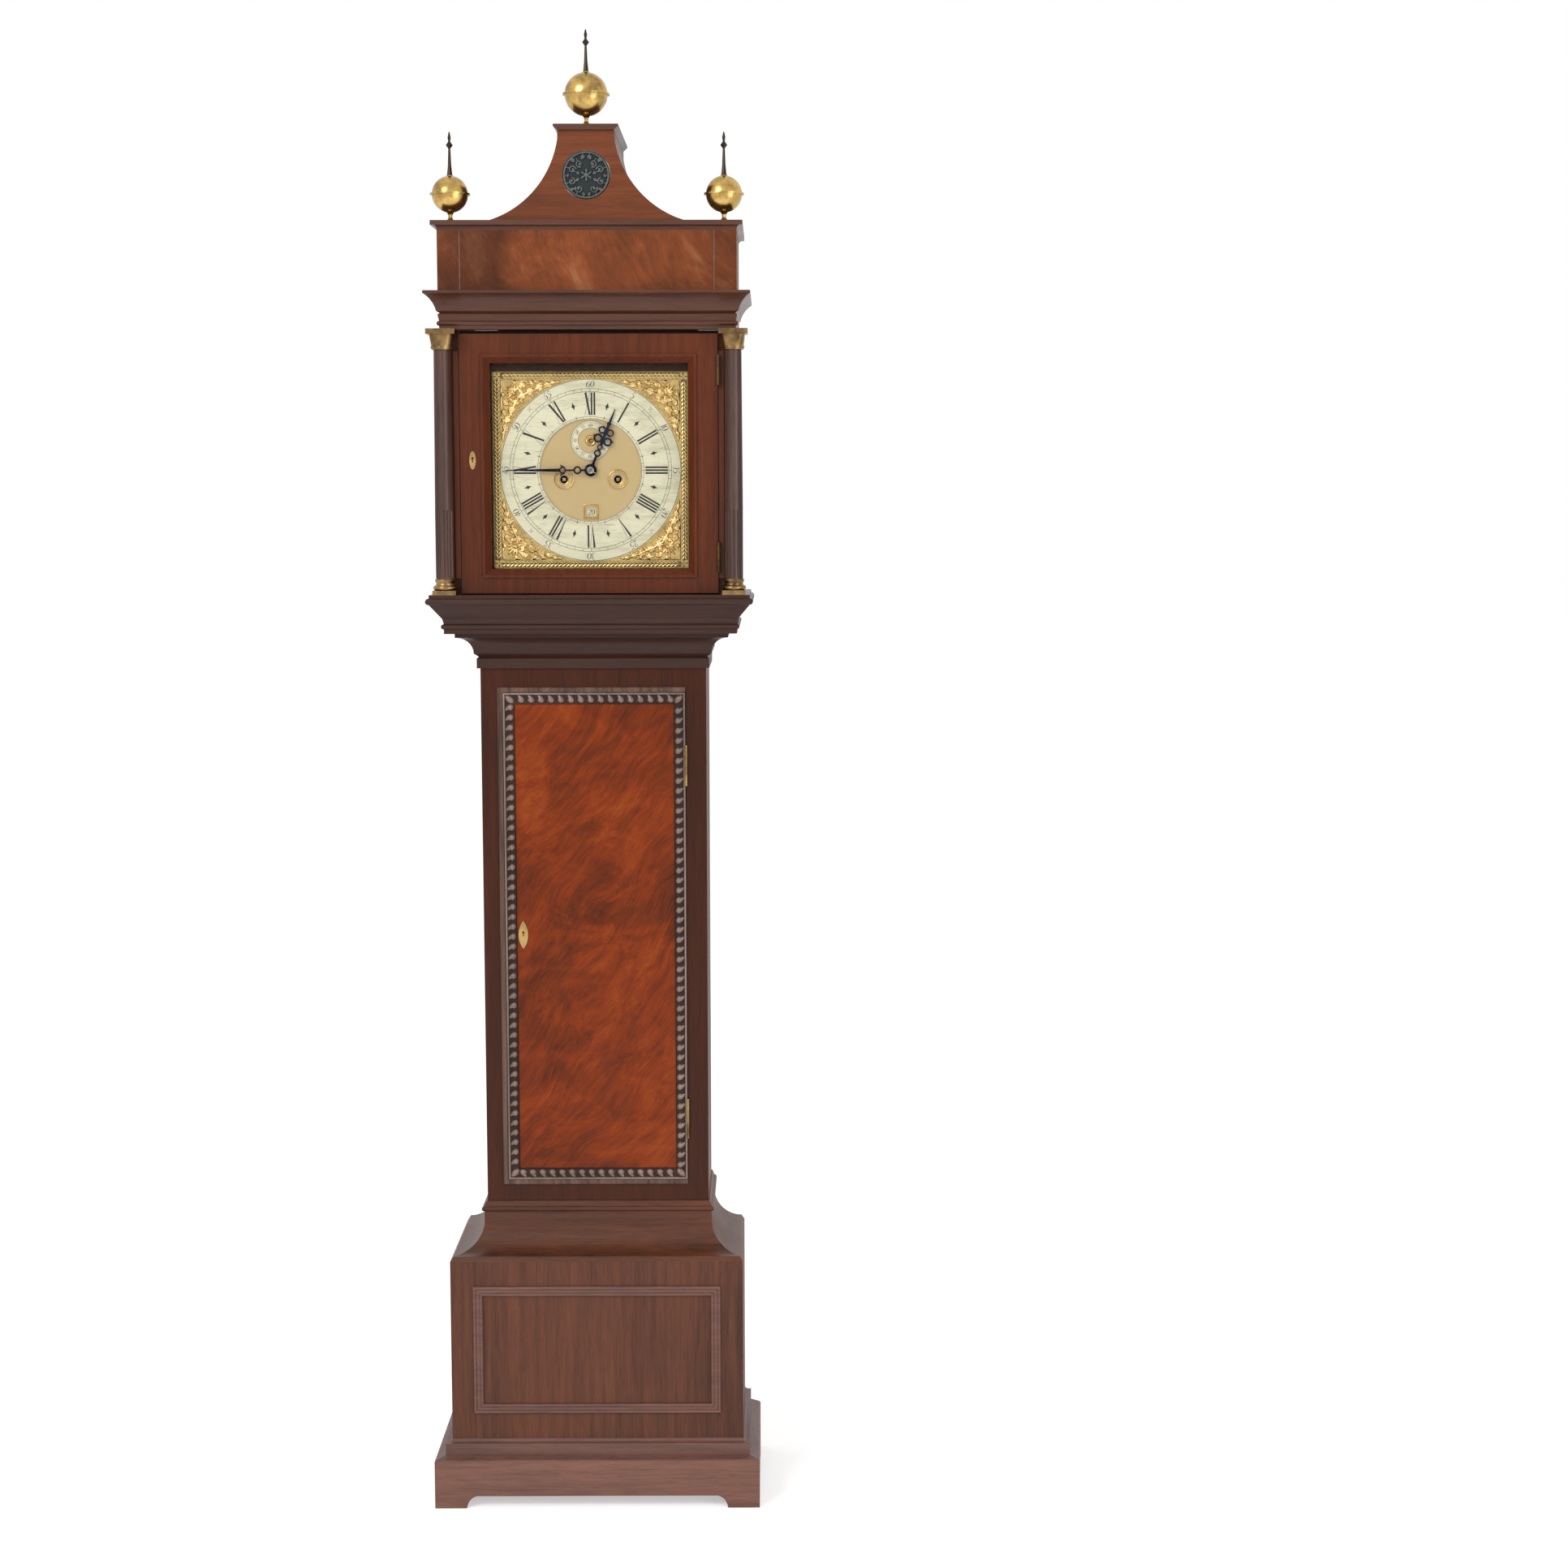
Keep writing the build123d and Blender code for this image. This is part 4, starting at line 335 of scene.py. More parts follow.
def silvered(name, main, grey):
    """Silvered brass: pale and soft, finely scratched along the horizontal, with a little grey bloom."""
    finish = Finish(name, roughness=0.42, metallic=0.3)
    bloom = finish.noise(finish.spread((0.3, 1, 1)), 50.0, 5.0, 0.65)
    scratches = finish.noise(finish.spread((0.04, 1, 1)), 1100.0, 3.0, 0.6)
    marks = finish.noise(finish.spread((0.07, 1, 1)), 420.0, 2.0, 0.5)
    clean = finish.ramp(bloom, (0.3, tone(*grey)), (0.52, tone(*main)))
    lines = finish.ramp(scratches, (0.34, (0.66, 0.65, 0.6, 1)), (0.42, (1, 1, 1, 1)))
    dark = finish.ramp(marks, (0.27, (0.45, 0.43, 0.38, 1)), (0.31, (1, 1, 1, 1)))
    worn = finish.blend(0.6, clean, lines, "MULTIPLY")
    finish.colour(finish.blend(0.7, worn, dark, "MULTIPLY"))
    finish.bump(scratches, 0.06, 0.0001)
    return finish.material


def wax(name, ink):
    """Engraver's wax, a little broken at its edges: black for the cut lettering, brown for painted shade in
    engraved cuts and turned grooves.
    """
    finish = Finish(name, roughness=0.55)
    speckle = finish.noise(finish.place, 900.0, 3.0)
    paler = tuple(value + 26 for value in ink)
    finish.colour(finish.ramp(speckle, (0.4, tone(*ink)), (0.75, tone(*paler))))
    return finish.material


def clear_glass(name):
    """A thin old pane: all but clear, with a slight ripple."""
    finish = Finish(name, roughness=0.02)
    finish.set(Transmission_Weight=1.0, IOR=1.12, Alpha=0.16)
    finish.colour((0.97, 0.99, 0.98, 1))
    finish.bump(finish.noise(finish.place, 9.0, 1.0), 0.03, 0.002)
    return finish.material


def woven(name, thread, gap):
    """Plain-woven cloth, its threads about half a millimetre apart."""
    finish = Finish(name, roughness=0.85)
    warp_threads = finish.node("TexWave", Vector=finish.place, Scale=620.0)
    weft = finish.node("TexWave", Vector=finish.spread((1, 1, 1), turn=(0, pi / 2, 0)), Scale=620.0)
    crossed = finish.math("MULTIPLY", warp_threads.outputs["Fac"], weft.outputs["Fac"])
    finish.colour(finish.ramp(crossed, (0.1, tone(*gap)), (0.6, tone(*thread))))
    finish.bump(crossed, 0.3, 0.0002)
    finish.set(Sheen_Weight=0.3)
    return finish.material


def twisted_gut(name):
    """Gut line: translucent amber with a slanting twist."""
    finish = Finish(name, roughness=0.45)
    twist = finish.node("TexWave", Vector=finish.spread((1, 1, 1), turn=(0, radians(35), 0)), Scale=500.0)
    finish.colour(finish.ramp(twist.outputs["Fac"], (0.2, tone(120, 92, 50)), (0.8, tone(196, 164, 104))))
    finish.bump(twist.outputs["Fac"], 0.3, 0.0002)
    return finish.material


def dark_spires(name, brass, bronze, starts):
    """Brass below, blackened bronze above the ball: starts gives (least |x|, z) for each finial."""
    finish = Finish(name, roughness=0.26, metallic=1.0)
    width = finish.math("ABSOLUTE", finish.axis("X"))
    masks = []
    for least_x, z in starts:
        beyond = finish.math("GREATER_THAN", width, least_x * MM)
        above = finish.math("GREATER_THAN", finish.axis("Z"), z * MM)
        masks.append(finish.math("MULTIPLY", beyond, above))
    spire = finish.math("MAXIMUM", *masks)
    patches = finish.noise(finish.place, 40.0, 5.0, 0.65)
    gilt = finish.ramp(patches, (0.34, tone(*(v * 0.62 for v in brass))), (0.6, tone(*brass)))
    finish.colour(finish.blend(spire, gilt, tone(*bronze)))
    finish.bump(patches, 0.08, 0.0005)
    return finish.material


def studio_white(name, lift):
    """Matt white floor that keeps its shadow, lifted towards white where it is looked at."""
    finish = Finish(name, roughness=0.9)
    marble = finish.noise(finish.place, 3.0, 2.0)
    finish.colour(finish.ramp(marble, (0.3, (0.9, 0.9, 0.9, 1)), (0.7, (0.93, 0.93, 0.93, 1))))
    finish.set(Specular_IOR_Level=0.05, Emission_Color=(1, 1, 1, 1))
    finish.set(Emission_Strength=finish.math("MULTIPLY", finish.seen(), lift))
    return finish.material


# Where the dark spire starts above each ball: least distance from the middle, and height
FINIAL_SPIRES = ((120.0, 2076.0), (-1.0, 2229.5))
# Each finish: the function that makes it, then what that takes after the name
LOOKS = {
    "skirt_wood": (wood, (122, 82, 68), 0.16, "X", 0.4, 0.4, 0.35),
    "moulding_wood": (wood, (84, 49, 35), 0.18, "round", 0.32, 1.3, 0.3),
    # Mouldings under the hood, their mahogany darkened as painted shade cast by the hood
    "hood_base_wood": (wood, (57, 34, 27), 0.18, "round", 0.36, 1.1, 0.22),
    "plinth_wood": (wood, (110, 76, 66), 0.16, "round", 0.36, 1.7, 0.35),
    "base_cove_wood": (wood, (92, 53, 36), 0.24, "round", 0.34, 2.6, 0.22),
    "base_wood": (wood, (89, 52, 37), 0.24, "Z", 0.38, 2.2, 0.2),
    "case_wood": (wood, (67, 31, 16), 0.16, "Z", 0.34, 3.1, 0.14),
    "side_wood": (wood, (92, 49, 30), 0.2, "Z", 0.36, 5.7, 0.16),
    "hood_door_wood": (wood, (92, 44, 24), 0.15, "Z", 0.3, 7.4, 0.14),
    "crest_wood": (wood, (114, 60, 33), 0.16, "X", 0.34, 4.6, 0.16),
    "inner_oak": (wood, (158, 114, 76), 0.2, "Z", 0.7, 6.2, 0.1),
    "mask_wood": (wood, (48, 28, 20), 0.25, "Z", 0.55, 8.8, 0.15),
    "column_wood": (wood, (84, 58, 50), 0.24, "Z", 0.3, 9.3, 0.4),
    # The carved border in two copies of one wood: the lighter one is painted highlight on the beads and
    # lobes, the darker one painted shade on the ground between them
    "carved_wood": (wood, (128, 106, 96), 0.2, "Z", 0.3, 2.9, 0.6),
    "carved_ground_wood": (wood, (50, 34, 28), 0.2, "Z", 0.45, 2.9, 0.15),
    "fret_wood": (wood, (74, 78, 76), 0.35, "X", 0.34, 1.9, 0.4),
    "door_flame": (flame_wood, (122, 47, 11), 0.26, radians(-38), 1.0, 0.37, (), DOOR_FIELD, (96, 74, 64)),
    "attic_flame": (flame_wood, (130, 67, 34), 0.16, radians(24), 0.8, 1.71, ATTIC_DRIFT),
    "cast_brass": (metal, (190, 156, 100), (132, 100, 58), 0.27),
    "mount_brass": (metal, (150, 122, 82), (88, 68, 42), 0.3, 40.0),
    "hinge_brass": (metal, (146, 122, 78), (92, 74, 46), 0.36, 40.0),
    "dull_hinge_brass": (metal, (92, 70, 46), (56, 42, 28), 0.45, 40.0),
    "gilt_brass": (metal, (226, 196, 136), (170, 136, 80), 0.3, 90.0, 1100.0, 0.08),
    "dial_brass": (dial_brass, (204, 176, 114), (184, 162, 117), (130, 106, 68)),
    "silvered_brass": (silvered, (208, 203, 174), (184, 178, 148)),
    # Darker, rougher brass for the movement plates
    "aged_brass": (metal, (112, 88, 52), (70, 54, 34), 0.5, 30.0, 700.0, 0.05),
    "train_brass": (metal, (204, 164, 88), (146, 104, 46), 0.3, 30.0, 700.0, 0.04),
    "blued_steel": (metal, (52, 50, 66), (22, 20, 28), 0.24, 60.0, 900.0, 0.03),
    "bright_steel": (metal, (178, 178, 180), (120, 118, 116), 0.26, 40.0, 900.0, 0.04),
    "bell_metal": (metal, (196, 160, 98), (120, 96, 60), 0.34, 18.0, 600.0, 0.1),
    "weight_iron": (metal, (94, 92, 92), (54, 50, 48), 0.55, 26.0, 380.0, 0.3),
    "pane_glass": (clear_glass,),
    "fret_cloth_weave": (woven, (36, 50, 54), (12, 18, 20)),
    "gut_line": (twisted_gut,),
    "engraving_wax": (wax, (24, 20, 18)),
    # Brown tone laid in engraved cuts and turned grooves: painted shade
    "engraving_shade": (wax, (112, 84, 44)),
    "finial_brass": (dark_spires, (206, 170, 100), (58, 50, 40), FINIAL_SPIRES),
}
FINISH = {name: make(name, *values) for name, (make, *values) in LOOKS.items()}

# The nodes that wear each finish
WORN_BY = {
    "skirt_wood": "plinth_skirt",
    "plinth_wood": "plinth_moulding base_panel_bead",
    "base_wood": "base_carcass",
    "base_cove_wood": "base_cove",
    "inner_oak": "backboard seat_board",
    "side_wood": "trunk_sides hood_sides",
    "case_wood": "trunk_front_frame",
    # Painted shade under the hood, on the trunk's cove and the hood's base
    "hood_base_wood": "trunk_cove hood_base_frame",
    "column_wood": "column_left column_right",
    "mask_wood": "hood_mask",
    "moulding_wood": "hood_cornice attic_cap pagoda_roof",
    "attic_flame": "attic_box",
    "crest_wood": "pagoda_front",
    "fret_wood": "fret_roundel",
    "fret_cloth_weave": "fret_cloth",
    "finial_brass": "finials",
    "hood_door_wood": "hood_door_frame",
    "pane_glass": "hood_door_glass",
    "door_flame": "trunk_door_panel",
    # Lighter copy of the carved wood, a painted highlight
    "carved_wood": "trunk_door_border",
    "cast_brass": "hood_door_escutcheon trunk_door_escutcheon",
    "mount_brass": "column_mounts",
    "hinge_brass": "trunk_hinge_leaves trunk_door_hinges",
    "dull_hinge_brass": "hood_hinge_leaves hood_door_hinges",
    "dial_brass": "dial_plate",
    "silvered_brass": "chapter_ring seconds_ring calendar_ring",
    "gilt_brass": "spandrels",
    "aged_brass": "front_plate back_plate",
    "bell_metal": "bell",
    "bright_steel": "hammer anchor",
    "train_brass": "centre_wheel hour_wheel minute_wheel third_wheel escape_wheel pendulum "
    "going_great_wheel strike_great_wheel going_barrel strike_barrel",
    "weight_iron": "going_weight strike_weight",
    "gut_line": "going_line strike_line",
    "blued_steel": "hour_hand minute_hand",
}

for finish_name, node_names in WORN_BY.items():
    for node_name in node_names.split():
        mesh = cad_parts[node_name].data
        mesh.materials.clear()
        mesh.materials.append(FINISH[finish_name])


# Shapes


def heading(start, end):
    """The direction from one point to another, a unit long."""
    run = hypot(end[0] - start[0], end[1] - start[1])
    return (end[0] - start[0]) / run, (end[1] - start[1]) / run


class Shape:
    """Corners and faces gathered for one mesh; a corner is (x, depth, z) in millimetres."""

    def __init__(self):
        self.points = []
        self.faces = []

    def add(self, points, faces):
        start = len(self.points)
        self.points.extend(points)
        self.faces.extend([start + index for index in face] for face in faces)

    def plate(self, outline, low, high):
        """A flat plate: outline is (x, z) pairs."""
        count = len(outline)
        points = [(x, low, z) for x, z in outline] + [(x, high, z) for x, z in outline]
        faces = [list(range(count)), list(range(count, 2 * count))]
        for index in range(count):
            after = (index + 1) % count
            faces.append((index, after, count + after, count + index))
        self.add(points, faces)

    def loft(self, rings, closed=False):
        """A skin over rings of points; the two ends are filled unless it closes on itself."""
        count = len(rings[0])
        faces = []
        for row in range(len(rings) if closed else len(rings) - 1):
            here, there = row * count, (row + 1) % len(rings) * count
            for index in range(count):
                after = (index + 1) % count
                faces.append((here + index, here + after, there + after, there + index))
        if not closed:
            faces.append(tuple(range(count)))
            faces.append(tuple((len(rings) - 1) * count + index for index in range(count)))
        self.add([place for ring in rings for place in ring], faces)

    def turned(self, x, z, profile, steps=64):
        """A closed profile of (radius, depth) pairs carried round the front-to-back line at x, z."""
        rings = []
        for step in range(steps):
            angle = 2 * pi * step / steps
            rings.append([(x + r * cos(angle), depth, z + r * sin(angle)) for r, depth in profile])
        self.loft(rings, closed=True)

    def circle(self, x, z, radius, width, low, high, steps=180):
        """A fine engraved circle."""
        inner, outer = radius - width / 2, radius + width / 2
        self.turned(x, z, ((inner, low), (outer, low), (outer, high), (inner, high)), steps)

    def stroke(self, knots, low, high, closed=False):
        """An engraved line through knots of (x, z, width)."""
        rings = []
        last = len(knots) - 1
        for index, (x, z, width) in enumerate(knots):
            before = knots[index - 1] if index > 0 or closed else knots[0]
            after = knots[(index + 1) % len(knots)] if index < last or closed else knots[last]
            ahead_x, ahead_z = heading(before, after)
            aside_x = -ahead_z * width / 2
            aside_z = ahead_x * width / 2
            rings.append(
                [(x + side * aside_x, depth, z + side * aside_z)
                 for side, depth in ((1, low), (1, high), (-1, high), (-1, low))]
            )
        self.loft(rings, closed)

    def line(self, spots, width, low, high):
        """An engraved line of one width."""
        self.stroke([(*spot, width) for spot in spots], low, high)

    def stem(self, knots, depth, flat=0.8, sides=8):
        """A rounded stem in the plane of the dial through knots of (x, z, radius)."""
        rings = []
        last = len(knots) - 1
        for index, (x, z, radius) in enumerate(knots):
            before, after = knots[max(index - 1, 0)], knots[min(index + 1, last)]
            ahead_x, ahead_z = heading(before, after)
            ring = []
            for side in range(sides):
                angle = 2 * pi * side / sides
                out = radius * cos(angle)
                ring.append((x - ahead_z * out, depth + radius * flat * sin(angle), z + ahead_x * out))
            rings.append(ring)
        self.loft(rings)


def mesh_piece(name, body, finish, shape, smooth=None, stands_for=None):
    """A piece of the scene made from a shape, with its faces turned outward."""
    mesh = bpy.data.meshes.new(name)
    mesh.from_pydata([point(*place) for place in shape.points], [], shape.faces)
    loose = bmesh.new()
    loose.from_mesh(mesh)
    bmesh.ops.recalc_face_normals(loose, faces=loose.faces)
    loose.to_mesh(mesh)
    loose.free()
    made = bpy.data.objects.new(name, mesh)
    bpy.context.scene.collection.objects.link(made)
    mesh.materials.append(FINISH[finish])
    if smooth is not None:
        for polygon in mesh.polygons:
            polygon.use_smooth = True
        mesh.set_sharp_from_angle(angle=radians(smooth))
    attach(made, body)
    if stands_for:
        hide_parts(stands_for)
    return made


def bend(t, a, b, c, d):
    """A smooth curve (Catmull-Rom) at the share t of the way from b to c."""
    return 0.5 * (2 * b + (c - a) * t + (2 * a - 5 * b + 4 * c - d) * t**2 + (3 * b - a - 3 * c + d) * t**3)


def eased(knots, closed=False, steps=4):
    """The same knots with smooth bends between them."""
    count = len(knots)
    made = []
    for index in range(count if closed else count - 1):
        near = range(index - 1, index + 3)
        four = [knots[at % count if closed else min(max(at, 0), count - 1)] for at in near]
        for step in range(steps):
            made.append(tuple(bend(step / steps, *values) for values in zip(*four)))
    if not closed:
        made.append(tuple(knots[-1]))
    return made


# Dial

# Engraving starts a little below the face and its wax stands a little out of it
SUNK, INK = 0.02, 0.12
RING_FRONT = 204.0
SECONDS_Z = 1678.3
SECONDS_FRONT = 203.0
WINDOW_Z = 1569.4
CALENDAR_FRONT = 199.7
WINDING_HOLES = ((-41.5, 1619.0), (41.5, 1619.0))
NUMERAL_FOOT, NUMERAL_HEIGHT = 84.6, 34.0


def dial_spot(turn, radius, u=0.0, v=0.0, middle=(0.0, DIAL_Z), head_in=False):
    """Where a point u across and v up lands in lettering whose foot is at the radius and turn."""
    if head_in:
        u, v = -u, -v
    return (
        middle[0] + sin(turn) * (radius + v) + cos(turn) * u,
        middle[1] + cos(turn) * (radius + v) - sin(turn) * u,
    )


# Digits in an old style: strokes through (x, y, width), in hundredths of their height
DIGITS = {
    "0": [((28, 100, 3), (7, 75, 11), (4, 50, 13), (7, 25, 11), (28, 0, 3),
           (49, 25, 11), (52, 50, 13), (49, 75, 11))],
    "1": [((20, 0, 10), (22, 50, 12), (22, 100, 10)), ((6, 82, 3), (14, 90, 5), (22, 100, 6))],
    "2": [((10, 74, 11), (9, 85, 7), (26, 100, 4), (47, 82, 12), (40, 55, 10),
           (20, 26, 5), (5, 4, 3), (20, 10, 10), (38, 2, 10), (54, 14, 3))],
    "3": [((10, 84, 9), (24, 100, 4), (44, 80, 11), (34, 61, 6), (20, 55, 3)),
          ((20, 55, 3), (38, 50, 6), (50, 26, 12), (34, 1, 5), (14, 4, 7), (7, 14, 10))],
    "4": [((42, 100, 3), (20, 62, 4), (2, 32, 3)), ((2, 32, 7), (30, 32, 6), (58, 32, 6)),
          ((42, 100, 10), (42, 50, 12), (42, 0, 10))],
    "5": [((50, 105, 3), (34, 95, 10), (16, 97, 4)), ((16, 97, 4), (13, 76, 4), (10, 55, 4)),
          ((10, 55, 3), (30, 62, 6), (48, 34, 13), (34, 3, 6), (16, 2, 6), (7, 12, 10))],
    "6": [((50, 98, 3), (22, 82, 7), (6, 45, 12), (10, 12, 9), (28, 0, 4),
           (49, 20, 11), (46, 44, 8), (28, 57, 4), (10, 42, 3))],
    "7": [((4, 86, 3), (8, 96, 6), (30, 95, 10), (50, 98, 4), (32, 50, 8), (20, 0, 11))],
    "8": [((28, 54, 10), (10, 77, 8), (28, 100, 3), (46, 77, 7),
           (28, 54, 5), (5, 26, 8), (28, 0, 3), (52, 26, 11))],
    "9": [((6, 2, 3), (34, 18, 7), (50, 55, 12), (46, 88, 9), (28, 100, 4),
           (7, 80, 11), (10, 56, 8), (28, 43, 4), (46, 58, 3))],
}
CLOSED_DIGITS = "08"
# Widths, the gap between digits and the slant, in parts of the height
DIGIT_WIDTH, NARROW_WIDTH, DIGIT_GAP, DIGIT_LEAN = 0.58, 0.34, 0.04, 0.12


def add_number(shape, number, turn, radius, height, low, middle=(0.0, DIAL_Z), head_in=False, boldness=1.0):
    """A number cut on the curve, foot to the middle unless head_in."""
    text = str(number)
    widths = [NARROW_WIDTH if digit == "1" else DIGIT_WIDTH for digit in text]
    start = (DIGIT_GAP - sum(widths)) / 2
    for digit, width in zip(text, widths):
        closed = digit in CLOSED_DIGITS
        for stroke in DIGITS[digit]:
            knots = [tuple(value / 100 for value in knot) for knot in stroke]
            placed = []
            for x, y, weight in eased(knots, closed):
                u = (start + x + DIGIT_LEAN * (y - 0.5)) * height
                spot = dial_spot(turn, radius, u, y * height, middle, head_in)
                placed.append((*spot, weight * height * boldness))
            shape.stroke(placed, low, low + INK, closed)
        start += width + DIGIT_GAP


# Widths of the Roman letters, and their strokes: the foot's two ends, then the head's two ends
ROMAN_WIDTH = {"I": 4.4, "V": 9.0, "X": 8.6}
ROMAN_STROKES = {
    "I": ((-1.35, 1.35, 1.35, -1.35),),
    "V": ((0.2, 0.8, -0.9, -4.3), (0.25, 0.75, 4.1, 3.6)),
    "X": ((2.2, 5.0, -0.9, -4.3), (-4.05, -3.55, 4.1, 3.6)),
}


def roman_strokes(text):
    """Outlines of a Roman numeral on its foot line, centred, and half its width."""
    outlines = []
    left = -sum(ROMAN_WIDTH[letter] for letter in text) / 2
    for letter in text:
        middle = left + ROMAN_WIDTH[letter] / 2
        for ends in ROMAN_STROKES[letter]:
            outlines.append([(middle + u, v) for u, v in zip(ends, (0, 0, NUMERAL_HEIGHT, NUMERAL_HEIGHT))])
        left += ROMAN_WIDTH[letter]
    return outlines, left


LOZENGE = ((0, 6.4), (-1.15, 2.6), (-2.9, 0), (-1.15, -2.6), (0, -6.4), (1.15, -2.6), (2.9, 0), (1.15, 2.6))
STOP_MARK = ((-0.8, 0), (0.8, 0), (0.15, 2.6), (-0.15, 2.6))


def engrave_chapter_ring():
    """Roman hours, minute numbers, tracks, lozenges and crosses, filled with black wax."""
    cut = Shape()
    low, high = RING_FRONT - SUNK, RING_FRONT + INK
    for radius, width in ((138.9, 0.7), (124.7, 0.55), (120.1, 0.55), (82.0, 0.5), (78.9, 0.5)):
        cut.circle(0, DIAL_Z, radius, width, low, high)
    for minute in range(60):
        turn = radians(6 * minute)
        width = 0.7 if minute % 5 == 0 else 0.45
        cut.line([dial_spot(turn, radius) for radius in (120.2, 124.6)], width, low, high)
    for quarter in range(48):
        turn = radians(7.5 * quarter)
        cut.line([dial_spot(turn, radius) for radius in (78.9, 82.0)], 0.45, low, high)
    for hour, text in enumerate(("XII", "I", "II", "III", "IIII", "V", "VI", "VII", "VIII", "IX", "X", "XI")):
        turn = radians(30 * hour)
        outlines, reach = roman_strokes(text)
        for outline in outlines:
            cut.plate([dial_spot(turn, NUMERAL_FOOT, u, v) for u, v in outline], low, high)
        for v in (0.0, NUMERAL_HEIGHT):
            cut.line([dial_spot(turn, NUMERAL_FOOT, u, v) for u in (-reach, reach)], 0.32, low, high)
        half = turn + radians(15)
        for outline, radius in ((LOZENGE, 100.6), (STOP_MARK, 82.2)):
            cut.plate([dial_spot(half, radius, u, v) for u, v in outline], low, high)
        add_number(cut, 5 * (hour or 12), turn, 126.6, 10.4, low)
    for quarter in range(4):
        turn = radians(45 + 90 * quarter)
        for arm in range(4):
            angle = pi / 4 + arm * pi / 2
            knots = [
                (*dial_spot(turn, 131.6, *polar(reach, angle)), width)
                for reach, width in ((0.9, 1.0), (2.6, 0.55), (4.6, 0.2))
            ]
            cut.stroke(knots, low, high)
    # A fine scratch along an arc of the ring
    cut.line([dial_spot(radians(degree), 101.0) for degree in range(-27, 48, 3)], 0.22, low, high - 0.04)
    mesh_piece("chapter_engraving", "case", "engraving_wax", cut)


def engrave_seconds_ring():
    """Seconds divisions and numbers on the small ring."""
    cut = Shape()
    low, high = SECONDS_FRONT - SUNK, SECONDS_FRONT + INK
    middle = (0.0, SECONDS_Z)
    for radius, width in ((30.2, 0.5), (27.7, 0.3), (19.4, 0.45)):
        cut.circle(0, SECONDS_Z, radius, width, low, high, 96)
    for second in range(60):
        turn = radians(6 * second)
        cut.line([dial_spot(turn, radius, middle=middle) for radius in (27.8, 30.1)], 0.28, low, high)
        if second % 5 == 0:
            add_number(cut, second or 60, turn, 21.3, 5.0, low, middle, boldness=1.25)
    mesh_piece("seconds_engraving", "case", "engraving_wax", cut)


def turn_bosses():
    """Turned rings round the winding holes and the seconds arbor, and a sunk moulded window frame."""
    rings = Shape()
    face = DIAL_FRONT - 0.05
    for x, z in WINDING_HOLES:
        rings.turned(x, z, ((15.0, face), (15.0, 202.7), (14.3, 203.0), (13.4, 202.8), (13.0, face)))
        rings.turned(
            x, z, ((11.3, face), (11.3, 202.6), (10.7, 202.9), (9.6, 202.5), (7.6, 202.3), (6.4, face))
        )
    rings.turned(
        0, SECONDS_Z,
        ((8.3, face), (8.3, 203.2), (7.4, 203.9), (6.4, 203.2), (5.0, 203.0),
         (4.3, 203.9), (3.3, 203.9), (3.3, face)),
    )
    half_out, half_high, half_in, half_low = 11.8, 11.7, 7.9, 6.6
    loops = []
    for across, up, depth in (
        (half_out, half_high, face), (half_out, half_high, 203.1), (half_out - 0.8, half_high - 0.8, 203.4),
        (half_in + 0.8, half_low + 0.8, 202.5), (half_in, half_low, 202.4), (half_in, half_low, face),
    ):
        loops.append([(x * across, depth, WINDOW_Z + z * up) for x, z in SQUARE])
    rings.loft(loops, closed=True)
    mesh_piece("dial_bosses", "case", "cast_brass", rings, smooth=35)
    notches = Shape()
    for index in range(9):
        x = -8.0 + 2.0 * index
        notches.stroke(((x - 0.5, WINDOW_Z - 10.4, 0.5), (x + 0.5, WINDOW_Z - 8.4, 0.2)), 202.9, 203.3)
    for radius in (15.8, 13.1, 9.9):
        for x, z in WINDING_HOLES:
            notches.circle(x, z, radius, 0.22, face, DIAL_FRONT + INK, 72)
    # Fine lines round the winding bosses and marks below the window, in brown painted shade
    mesh_piece("boss_lines", "case", "engraving_shade", notches)


def engrave_calendar():
    """The days 1 to 31 on the turning ring behind the window, the twentieth showing."""
    cut = Shape()
    low, high = CALENDAR_FRONT - SUNK, CALENDAR_FRONT + INK
    days, shown = 31, 20
    for day in range(1, days + 1):
        turn = pi + radians(360 / days) * (day - shown)
        add_number(cut, day, turn, 68.2, 8.6, low, head_in=True, boldness=1.2)
    for radius in (72.6, 56.2):
        cut.circle(0, DIAL_Z, radius, 0.4, low, high)
    mesh_piece("calendar_engraving", "calendar_ring", "engraving_wax", cut)


# A leaf of the border as (share of its length, offset aside): its edge and its ridge
LEAF_EDGE = ((0, 0), (0.3, 1.7), (0.65, 1.75), (1, 0), (0.65, -1.75), (0.3, -1.7))
LEAF_RIDGE = ((0.35, 0), (0.7, 0))


